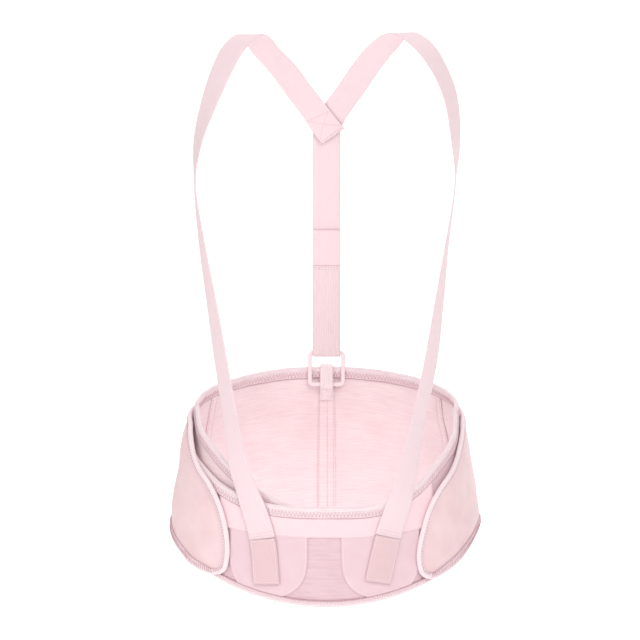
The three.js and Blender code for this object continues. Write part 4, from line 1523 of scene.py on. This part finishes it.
class BELT_OT_wings(bpy.types.Operator):
    """Left and right wings with their bindings and overlock stitching"""

    bl_idname = "belt.wings"
    bl_label = "Wings"
    bl_options = {"REGISTER", "UNDO"}

    def execute(self, context):
        self.wing(context, "left_wing", LEFT_WING)
        self.wing(context, "right_wing", RIGHT_WING)
        return {"FINISHED"}

    def wing(self, context, name, wing):
        side = wing["side"]
        front, foot = flat_spline(wing["front"], side), flat_spline(wing["foot"], side)
        seam_x = side * math.radians(WING_SEAM_TURN) * HIP_HALF_WIDTH
        top_start, foot_end, corner = front(0.0), foot(1.0), front(1.0)

        def spot(aft, up):
            """A place on the flat wing between its four edges: shares back from the front, and up."""
            aft, up = np.broadcast_arrays(np.asarray(aft, float), np.asarray(up, float))
            a, u = aft[..., None], up[..., None]
            seam_height = foot_end[1] + (top_start[1] - foot_end[1]) * up
            seam = np.stack([np.full_like(up, seam_x), seam_height], -1)
            top_place = top_start[0] + (seam_x - top_start[0]) * aft
            top = np.stack([top_place, np.full_like(aft, top_start[1])], -1)
            low_seam = np.array([seam_x, foot_end[1]])
            high_seam = np.array([seam_x, top_start[1]])
            blend = front(1 - up) * (1 - a) + seam * a + foot(aft) * (1 - u) + top * u
            blend = blend - corner * (1 - a) * (1 - u) - top_start * (1 - a) * u
            return blend - low_seam * a * (1 - u) - high_seam * a * u

        def on_wing(place, lift):
            turn = place[..., 0] / HIP_HALF_WIDTH
            seat = wing_seat(turn)
            if side < 0:
                # Above the front band's end, only the thin end band is left under this wing.
                settled = ease(place[..., 1] / BACK_HEIGHT, *LEFT_WING_SETTLE)
                seat = seat + (WING_REAR_LIFT - seat) * LEFT_WING_SETTLE_SHARE * settled
            return lifted(turn, place[..., 1], seat + lift)

        aft = (np.linspace(0, 1, WING_COLUMNS + 1) ** WING_FRONT_BIAS)[None, :]
        up = np.linspace(0, 1, WING_ROWS + 1)[:, None]
        place = spot(aft, up)
        aft_fade, up_fade = WING_CROWN_FADE
        from_edge = np.minimum(np.minimum(aft, 1 - aft) / aft_fade, np.minimum(up, 1 - up) / up_fade)
        crown = context.scene.belt_cloth.wing_crown * ease(from_edge, 0.0, 1.0)
        inner, _ = on_wing(place, crown * WING_CROWN_INSIDE)
        outer, _ = on_wing(place, CLOTH + crown)
        panel = make_piece(name, *slab(inner, outer, place), wing_cloth(), "wing_cloth", [name])
        tape, thread = self.binding(name, side, spot, on_wing)
        middle = (inner + outer) / 2
        declare_sheet(panel, middle)

    def binding(self, name, side, spot, on_wing):
        """Tape and overlock stitches round a wing's top, front and foot."""
        count = 170
        line = np.linspace(0, 1, count + 1)
        low, high = np.zeros_like(line), np.ones_like(line)
        runs = [spot(1 - line, high), spot(low, 1 - line)[1:], spot(line, low)[1:]]
        outline = np.concatenate(runs)
        travel = line_travel(outline)
        corner_at = travel[2 * count]
        even = np.arange(0.0, travel[-1], BINDING_STEP)
        outline = points_along(outline, travel, even)
        smooth = np.ones(BINDING_SMOOTHING) / BINDING_SMOOTHING
        for k in range(2):
            padded = np.pad(outline[:, k], BINDING_SMOOTHING // 2, mode="reflect", reflect_type="odd")
            outline[:, k] = np.convolve(padded, smooth, mode="valid")
        wide = ease(even - corner_at, *BINDING_WIDENS)
        leg = WING_TAPE_WIDTH + (WING_HEM_TAPE_WIDTH - WING_TAPE_WIDTH) * wide
        per_turn = body(outline[:, 0] / HIP_HALF_WIDTH, outline[:, 1])[4] / HIP_HALF_WIDTH
        run = unit(np.gradient(outline, axis=0) * np.stack([per_turn, np.ones_like(per_turn)], -1))
        away = np.stack([run[:, 1] / per_turn, -run[:, 0]], -1) * side
        sections = []
        for k in range(len(outline)):
            profile, around, outer_count = tape_section(float(leg[k]), WING_TAPE_GAP)
            shift = puckered(profile, outer_count, even[k])
            points, _ = on_wing(outline[k] + away[k] * profile[:, 1, None], profile[:, 0] + shift)
            sections.append(points)
        mesh = tape_mesh(np.array(sections), around, even)
        tape = make_piece(name + "_binding", *mesh, lit_tape(), "binding", [name + "_binding"])

        def lane(share, keep):
            """The tape's outer face at a share of its leg, where it is kept."""
            place = outline[keep] - away[keep] * (leg[keep] * share)[:, None]
            return on_wing(place, CLOTH + WING_TAPE_GAP + TAPE)

        hemmed = np.nonzero(even > corner_at + OVERLOCK_START)[0]
        fronted = np.nonzero(even <= corner_at + OVERLOCK_START)[0]
        rows = [slanted(*(lane(share, hemmed) for share in OVERLOCK_LANES), OVERLOCK_PITCH)]
        rows.append(dashes(lane(OVERLOCK_EDGE_LANE, hemmed)))
        rows.append(dashes(lane(WING_FRONT_LANE, fronted)))
        thread = sew(name + "_stitches", rows, seam_thread(), radius_share=WING_THREAD)
        return tape, thread


STRAP_LIFT = TRIM_LIFT + TAPE + GAP + TAB_THICKNESS / 2
RING_HALF_WIDTH = STRAP_WIDTH / 2 + RING_SIDE_GAP + RING_BAR
RING_TURN = math.pi - RING_HALF_WIDTH / (HIP_HALF_WIDTH - WIDTH_TAPER)


def rim_inner_depth():
    point, _, _, out, _ = body(RING_TURN, BACK_HEIGHT)
    return float(point[1] - out[1] * TAPE_REACH)


RING_PLANE = rim_inner_depth() - GAP - RING_THICKNESS / 2
LOOP_RADIUS = (RING_THICKNESS / 2) * math.sqrt(2) + GAP + WEBBING / 2
BACK_STRAP_PLANE = RING_PLANE + LOOP_RADIUS
JUNCTION_HEIGHT = JUNCTION_SHARE * SHOULDER_HEIGHT
RING_TOP_HEIGHT = BACK_HEIGHT + RING_RISE
BACK_TAB_FOOT = RING_TOP_HEIGHT + BACK_TAB_RISE
RING_TAB_FOOT = BACK_HEIGHT - RING_TAB_DROP


class BELT_OT_shoulder_straps(bpy.types.Operator):
    """Left and right shoulder straps with their gripping tabs"""

    bl_idname = "belt.shoulder_straps"
    bl_label = "Shoulder straps"
    bl_options = {"REGISTER", "UNDO"}

    def execute(self, context):
        self.strap("left", LEFT_STRAP)
        self.strap("right", RIGHT_STRAP)
        return {"FINISHED"}

    def rows(self, strap):
        places, facings = [], []
        side = strap["side"]
        for turn_degrees, share in strap["laid"]:
            turn = side * math.radians(turn_degrees)
            point, _, _, out, _ = body(turn, share * BACK_HEIGHT)
            places.append(point + out * float(band_seat(turn) + STRAP_LIFT))
            facings.append(out)
        last_reach = BACK_STRAP_PLANE - strap["layer"] * (WEBBING + LAYER_GAP)
        for out, reach, share, facing, lean in strap["free"]:
            depth = BELLY_DEPTH if reach < 0 else last_reach / strap["free"][-1][1]
            places.append([side * out * CHEST_HALF_WIDTH, reach * depth, share * SHOULDER_HEIGHT])
            around, upward = math.radians(facing), math.radians(lean)
            level = math.cos(upward)
            facings.append([side * math.sin(around) * level, -math.cos(around) * level, math.sin(upward)])
        return np.array(places), np.array(facings)

    def strap(self, name, strap):
        places, facings = self.rows(strap)
        tab_end = 1 / (len(places) - 1)
        seam_gap = GAP / float(np.linalg.norm(places[1] - places[0])) * tab_end
        shares = np.linspace(tab_end, 1.0, STRAP_TRIES)
        line = smooth_curve(places, shares)
        travel = line_travel(line)
        at = np.interp(np.arange(0.0, travel[-1], STRAP_STEP), travel, shares)
        points, outs = smooth_curve(places, at), unit(smooth_curve(facings, at))
        sections, uv, across, outs = ribbon(points, outs, STRAP_WIDTH, WEBBING, STRAP_CROWN)
        strap_name = name + "_shoulder_strap"
        piece = make_piece(strap_name, *sweep(sections, uv), strap_webbing(), "webbing", [strap_name])
        rows = self.end_stitches(points, across, outs, strap["layer"])
        thread = sew(strap_name + "_stitches", rows, thread_cloth(), "webbing", FINE_THREAD)
        grid = ribbon_sheet(points, across, STRAP_WIDTH)
        declare_sheet(piece, grid)
        self.tab(name, places, facings, tab_end - seam_gap)

    def end_stitches(self, points, across, outs, layer):
        """Rows across the foot of the strap, and crossed rows where the straps are joined."""
        reach = STRAP_WIDTH / 2 - STRAP_STITCH_INSET
        size = {"reach": reach, "count": 20, "width": STRAP_WIDTH, "thickness": WEBBING}
        rows = []
        for index in (1, 2):
            bulge = STRAP_CROWN * max(0.0, float(-outs[index, 1]))
            rows.append(cross_row(points[index], across[index], outs[index], bulge=bulge, **size))
        if layer == 2:
            low, high = (len(points) + index for index in STRAP_JOIN)
            share = np.linspace(0, 1, high - low)[:, None]
            for face in (1, -1):
                turned = outs * face
                for start in (-1, 1):
                    sideways = (start - 2 * start * share) * reach
                    line = points[low:high] + across[low:high] * sideways
                    rows.append(dashes((line + turned[low:high] * WEBBING / 2, turned[low:high])))
                for index in (low, high):
                    rows.append(cross_row(points[index], across[index], turned[index], **size))
        return rows

    def tab(self, name, places, facings, end):
        shares = np.linspace(0.0, end, 24)
        points, outs = smooth_curve(places, shares), unit(smooth_curve(facings, shares))
        sections, uv, across, outs = ribbon(points, outs, STRAP_WIDTH, TAB_THICKNESS, STRAP_CROWN)
        tab_name = name + "_strap_tab"
        piece = make_piece(tab_name, *sweep(sections, uv), grip_cloth(), "grip_tape", [tab_name])
        rows = box_stitches(points, across, outs, STRAP_WIDTH, TAB_THICKNESS, STRAP_CROWN)
        thread = sew(tab_name + "_stitches", rows, pale_thread(), "grip_tape")
        grid = ribbon_sheet(points, across, STRAP_WIDTH)
        declare_sheet(piece, grid)


def box_stitches(points, across, outs, width, thickness, crown):
    """A row of straight stitches round a short strap, inside its edges."""
    reach = width / 2 - STRAP_STITCH_INSET
    bulge = crown * np.clip(-outs[:, 1], 0.0, None)
    rows = []
    for sideways in (-reach, reach):
        lift = face_lift(sideways, width, thickness, bulge)
        rows.append(dashes((points + across * sideways + outs * lift[:, None], outs)))
    for index in (1, len(points) - 2):
        place = points[index], across[index], outs[index]
        rows.append(cross_row(*place, reach, 24, width, thickness, bulge[index]))
    return rows


def middle_line(spots):
    """Spots of depth and height in the middle plane, as points."""
    return np.array([(0.0, depth, height) for depth, height in spots])


def middle_ribbon(spots, width, thickness, pitch=1.6):
    """A ribbon along a line of spots: its points, sections, uv, ways across and ways out."""
    points = even_line(middle_line(spots), pitch)
    ahead = unit(np.gradient(points, axis=0))
    outs = np.cross(ahead, np.array([1.0, 0.0, 0.0]))
    return points, *ribbon(points, outs, width, thickness)


def fine_curve(spots, steps=60):
    """Rounds the corners of a line of spots in the middle plane."""
    return smooth_curve(middle_line(spots), np.linspace(0, 1, steps * (len(spots) - 1)))[:, 1:]


class BELT_OT_centre_strap(bpy.types.Operator):
    """Centre back strap that passes round the ring and is gripped by its tab"""

    bl_idname = "belt.centre_strap"
    bl_label = "Centre back strap"
    bl_options = {"REGISTER", "UNDO"}

    def execute(self, context):
        loop_height = RING_TOP_HEIGHT - RING_BAR + RING_THICKNESS / 2
        folded = BACK_STRAP_PLANE - WEBBING - GAP
        settle = loop_height + STRAP_SETTLE_LENGTH
        spots = [(BACK_STRAP_PLANE, JUNCTION_HEIGHT), (BACK_STRAP_PLANE, settle)]
        for angle in np.linspace(0.0, -math.pi, 25):
            depth = RING_PLANE + LOOP_RADIUS * math.cos(angle)
            spots.append((depth, loop_height + LOOP_RADIUS * math.sin(angle)))
        spots += [(folded, settle), (folded, BACK_TAB_FOOT - GAP)]
        points, sections, uv, across, _ = middle_ribbon(spots, STRAP_WIDTH, WEBBING, pitch=1.2)
        name = "centre_back_strap"
        piece = make_piece(name, *sweep(sections, uv), strap_webbing(), "webbing", [name])
        self.make_elastic(piece)
        rows = []
        aside, ahead = np.array([1.0, 0.0, 0.0]), np.array([0.0, -1.0, 0.0])
        reach = STRAP_WIDTH / 2 - FOLD_STITCH_INSET
        for fall in FOLD_STITCH_DROPS:
            point = np.array([0.0, folded, BACK_TAB_FOOT - fall])
            rows.append(cross_row(point, aside, ahead, reach, 24, STRAP_WIDTH, WEBBING))
        thread = sew(name + "_stitches", rows, thread_cloth(), "webbing", FINE_THREAD)
        grid = ribbon_sheet(points, across, STRAP_WIDTH)
        declare_sheet(piece, grid)
        self.tab()
        return {"FINISHED"}

    def make_elastic(self, piece):
        """The stretch that goes round the ring is ribbed elastic."""
        piece.data.materials.append(ribbed_elastic())
        centres = np.empty(len(piece.data.polygons) * 3)
        piece.data.polygons.foreach_get("center", centres)
        height = centres.reshape(-1, 3)[:, 2] / MILLIMETRE + WAIST_LEVEL
        index = (height < BACK_TAB_FOOT - GAP / 2).astype(np.int32)
        piece.data.polygons.foreach_set("material_index", index)

    def tab(self):
        plane = BACK_STRAP_PLANE - WEBBING / 2 - GAP - TAB_THICKNESS / 2
        spots = [(plane, BACK_TAB_FOOT), (plane, BACK_TAB_FOOT + BACK_TAB_LENGTH)]
        points, sections, uv, across, outs = middle_ribbon(spots, STRAP_WIDTH, TAB_THICKNESS)
        outs = -outs if outs[0, 1] > 0 else outs
        mesh = sweep(sections, uv)
        piece = make_piece("back_strap_tab", *mesh, smooth_tab(), "grip_tape", ["back_strap_tab"])
        rows = box_stitches(points, across, outs, STRAP_WIDTH, TAB_THICKNESS, 0.0)
        thread = sew("back_strap_tab_stitches", rows, pale_thread(), "grip_tape", FINE_THREAD)
        grid = ribbon_sheet(points, across, STRAP_WIDTH)
        declare_sheet(piece, grid)


def rounded_rectangle(half_width, half_height, corner, steps=10):
    """Points round a rectangle with round corners, in its plane."""
    spots = []
    centres = [(1, 1, 0), (-1, 1, 90), (-1, -1, 180), (1, -1, 270)]
    for x, z, start in centres:
        for step in range(steps + 1):
            angle = math.radians(start + 90 * step / steps)
            across = x * (half_width - corner) + corner * math.cos(angle)
            spots.append((across, z * (half_height - corner) + corner * math.sin(angle)))
    return np.array(spots)


class BELT_OT_ring(bpy.types.Operator):
    """Rectangular slide ring and the short web that holds it to the back panel"""

    bl_idname = "belt.ring"
    bl_label = "Ring"
    bl_options = {"REGISTER", "UNDO"}

    def execute(self, context):
        half_bar = RING_BAR / 2
        corners = rounded_rectangle(
            RING_HALF_WIDTH - half_bar, RING_HEIGHT / 2 - half_bar, RING_CORNER - half_bar
        )
        path = []
        for start, end in zip(corners, np.roll(corners, -1, axis=0)):
            steps = max(1, int(np.linalg.norm(end - start) / RING_STEP))
            path += [start + (end - start) * k / steps for k in range(steps)]
        path = np.array(path)
        run = unit(np.roll(path, -1, axis=0) - np.roll(path, 1, axis=0))
        away = np.stack([run[:, 1], -run[:, 0]], -1)
        angles = np.linspace(0, 2 * math.pi, RING_SIDES + 1)[:-1]
        wide, deep = (
            np.sign(reach) * np.abs(reach) ** RING_SQUARENESS * size / 2
            for reach, size in ((np.cos(angles), RING_BAR), (np.sin(angles), RING_THICKNESS))
        )
        centre = RING_TOP_HEIGHT - RING_HEIGHT / 2
        reach = path[:, None, :] + away[:, None, :] * wide[None, :, None]
        depth = np.broadcast_to(RING_PLANE + deep, reach.shape[:2])
        sections = np.stack([reach[..., 0], depth, centre + reach[..., 1]], -1)
        number = np.arange(depth.size).reshape(depth.shape)
        after = np.roll(number, -1, axis=1)
        below, below_after = np.roll(number, -1, axis=0), np.roll(after, -1, axis=0)
        faces = np.stack([number, after, below_after, below], -1).reshape(-1, 4)
        travel = np.arange(len(path)) * RING_STEP
        uv = np.stack(np.broadcast_arrays((angles * RING_STEP)[None, :], travel[:, None]), -1)
        mesh = sections.reshape(-1, 3), faces, uv.reshape(-1, 2)
        make_piece("slide_ring", *mesh, ring_plastic(), "ring_plastic", ["slide_ring"])
        self.tab()
        return {"FINISHED"}

    def tab(self):
        half = RING_TAB_WEBBING / 2
        edge_turn = math.pi - RING_TAB_WIDTH / 2 / (HIP_HALF_WIDTH - WIDTH_TAPER)

        def inside(height):
            return float(body(edge_turn, height)[0][1]) - TAPE_REACH - LAYER_GAP - half

        def outside(height):
            return float(body(math.pi, height)[0][1]) + CLOTH + TAPE_REACH + LAYER_GAP + half

        over_bar = RING_PLANE - RING_THICKNESS / 2 - GAP - half
        bar_foot = RING_TOP_HEIGHT - RING_HEIGHT
        crest = BACK_HEIGHT + TAPE_REACH + 2 * GAP + half
        spots = [
            (inside(RING_TAB_FOOT), RING_TAB_FOOT),
            (inside(bar_foot), bar_foot - TAB_RUN_UP),
            (over_bar, bar_foot - half),
            (over_bar, bar_foot + RING_BAR + half),
            (inside(BACK_HEIGHT), bar_foot + TAB_SETTLE),
            (inside(BACK_HEIGHT), crest - half),
            (inside(BACK_HEIGHT) + half, crest),
            (outside(BACK_HEIGHT) - half, crest),
            (outside(BACK_HEIGHT), crest - half),
            (outside(BACK_HEIGHT - RIM_TAPE_WIDTH), BACK_HEIGHT - RIM_TAPE_WIDTH),
            (outside(BACK_HEIGHT - 2 * RIM_TAPE_WIDTH), BACK_HEIGHT - 2 * RIM_TAPE_WIDTH),
        ]
        made = middle_ribbon(fine_curve(spots), RING_TAB_WIDTH, RING_TAB_WEBBING, pitch=1.0)
        points, sections, uv, across, outs = made
        piece = make_piece("ring_tab", *sweep(sections, uv), lit_tape(), "webbing", ["ring_tab"])
        rows = []
        outs = -outs if outs[2, 1] > 0 else outs
        reach = RING_TAB_STITCH_REACH
        for index in RING_TAB_CROSSINGS:
            place = points[index], across[index], outs[index]
            rows.append(cross_row(*place, reach, 16, RING_TAB_WIDTH, RING_TAB_WEBBING))
        for sideways in (-reach, reach):
            for part in RING_TAB_RUNS:
                line = points[part] + across[part] * sideways + outs[part] * half
                rows.append(dashes((line, outs[part])))
        thread = sew("ring_tab_stitches", rows, thread_cloth(), "webbing", RING_THREAD)
        grid = ribbon_sheet(points, across, RING_TAB_WIDTH)
        declare_sheet(piece, grid)


class BELT_OT_stage(bpy.types.Operator):
    """Pale floor, soft studio light and the photo's camera"""

    bl_idname = "belt.stage"
    bl_label = "Floor, light and camera"
    bl_options = {"REGISTER", "UNDO"}

    def execute(self, context):
        stage = context.scene.belt_stage
        self.floor(stage)
        self.camera(context, stage)
        for name, place, size, power in LIGHTS:
            self.light(name, place, size, getattr(stage, power))
        world = bpy.data.worlds.new("Soft_Sky")
        world.use_nodes = True
        sky = world.node_tree.nodes["Background"]
        sky.inputs["Color"].default_value = SKY_COLOUR
        sky.inputs["Strength"].default_value = stage.sky
        context.scene.world = world
        context.scene.view_settings.view_transform = "Standard"
        return {"FINISHED"}

    def floor(self, stage):
        size, drop = FLOOR_HALF_SIZE, -stage.floor_drop
        corners = [(x * size, y * size, drop) for x, y in ((-1, -1), (1, -1), (1, 1), (-1, 1))]
        mesh = bpy.data.meshes.new("Floor")
        mesh.from_pydata(corners, [], [(0, 1, 2, 3)])
        material, graph, shader = new_material("Pale_Floor")
        place = graph.node("ShaderNodeTexCoord", "Floor place")
        grain = graph.noise("Floor grain", place.outputs["Object"], 3.0, 4.0)
        rough = graph.math("MULTIPLY_ADD", "Floor roughness", grain, 0.1, 0.8)
        graph.put(shader.inputs["Roughness"], rough)
        colour = bpy.context.scene.belt_colours.floor
        shader.inputs["Base Color"].default_value = colour
        shader.inputs["Emission Color"].default_value = colour
        shader.inputs["Emission Strength"].default_value = FLOOR_GLOW
        mesh.materials.append(material)
        floor = bpy.data.objects.new("Floor", mesh)
        bpy.context.collection.objects.link(floor)

    def camera(self, context, stage):
        lean = stage.elevation
        back = np.array([0.0, -math.cos(lean), math.sin(lean)])
        data = bpy.data.cameras.new("Camera")
        data.sensor_width = SENSOR_WIDTH
        data.lens = stage.lens
        data.clip_end = VIEW_DEPTH
        camera = bpy.data.objects.new("Camera", data)
        camera.location = CAMERA_TARGET + stage.distance * back
        camera.rotation_euler = (math.pi / 2 - lean, 0.0, 0.0)
        bpy.context.collection.objects.link(camera)
        context.scene.camera = camera

    def light(self, name, place, size, power):
        data = bpy.data.lights.new(name, "AREA")
        data.shape = "SQUARE"
        data.size = size
        data.energy = power
        lamp = bpy.data.objects.new(name, data)
        lamp.location = place
        x, y, z = (float(part) for part in unit(np.subtract(LIGHT_TARGET, place)))
        lamp.rotation_euler = (math.acos(-z), 0.0, math.atan2(-x, y))
        bpy.context.collection.objects.link(lamp)


class BELT_PT_sidebar(bpy.types.Panel):
    """Lists the belt's pieces and settings"""

    bl_idname = "BELT_PT_sidebar"
    bl_label = "Support belt"
    bl_space_type = "VIEW_3D"
    bl_region_type = "UI"
    bl_category = "Belt"

    def draw(self, context):
        layout = self.layout
        for title in GROUPS:
            group = getattr(context.scene, title)
            box = layout.box()
            for name in group.__annotations__:
                box.prop(group, name)
        for step in STEPS:
            layout.operator(step.bl_idname)


STEPS = [
    BELT_OT_stage,
    BELT_OT_back_panel,
    BELT_OT_end_band,
    BELT_OT_front_band,
    BELT_OT_wings,
    BELT_OT_shoulder_straps,
    BELT_OT_centre_strap,
    BELT_OT_ring,
]
GROUPS = {
    "belt_colours": BeltColourSettings,
    "belt_cloth": BeltClothSettings,
    "belt_thread": BeltThreadSettings,
    "belt_stage": BeltStageSettings,
}


def register():
    for group in GROUPS.values():
        bpy.utils.register_class(group)
    for step in STEPS:
        bpy.utils.register_class(step)
    bpy.utils.register_class(BELT_PT_sidebar)
    for name, group in GROUPS.items():
        setattr(bpy.types.Scene, name, bpy.props.PointerProperty(type=group))


def unregister():
    for name in GROUPS:
        delattr(bpy.types.Scene, name)
    bpy.utils.unregister_class(BELT_PT_sidebar)
    for step in reversed(STEPS):
        bpy.utils.unregister_class(step)
    for group in reversed(list(GROUPS.values())):
        bpy.utils.unregister_class(group)


def main():
    register()
    bpy.ops.belt.stage()
    bpy.ops.belt.back_panel()
    bpy.ops.belt.end_band()
    bpy.ops.belt.front_band()
    bpy.ops.belt.wings()
    bpy.ops.belt.shoulder_straps()
    bpy.ops.belt.centre_strap()
    bpy.ops.belt.ring()


if __name__ == "__main__":
    main()
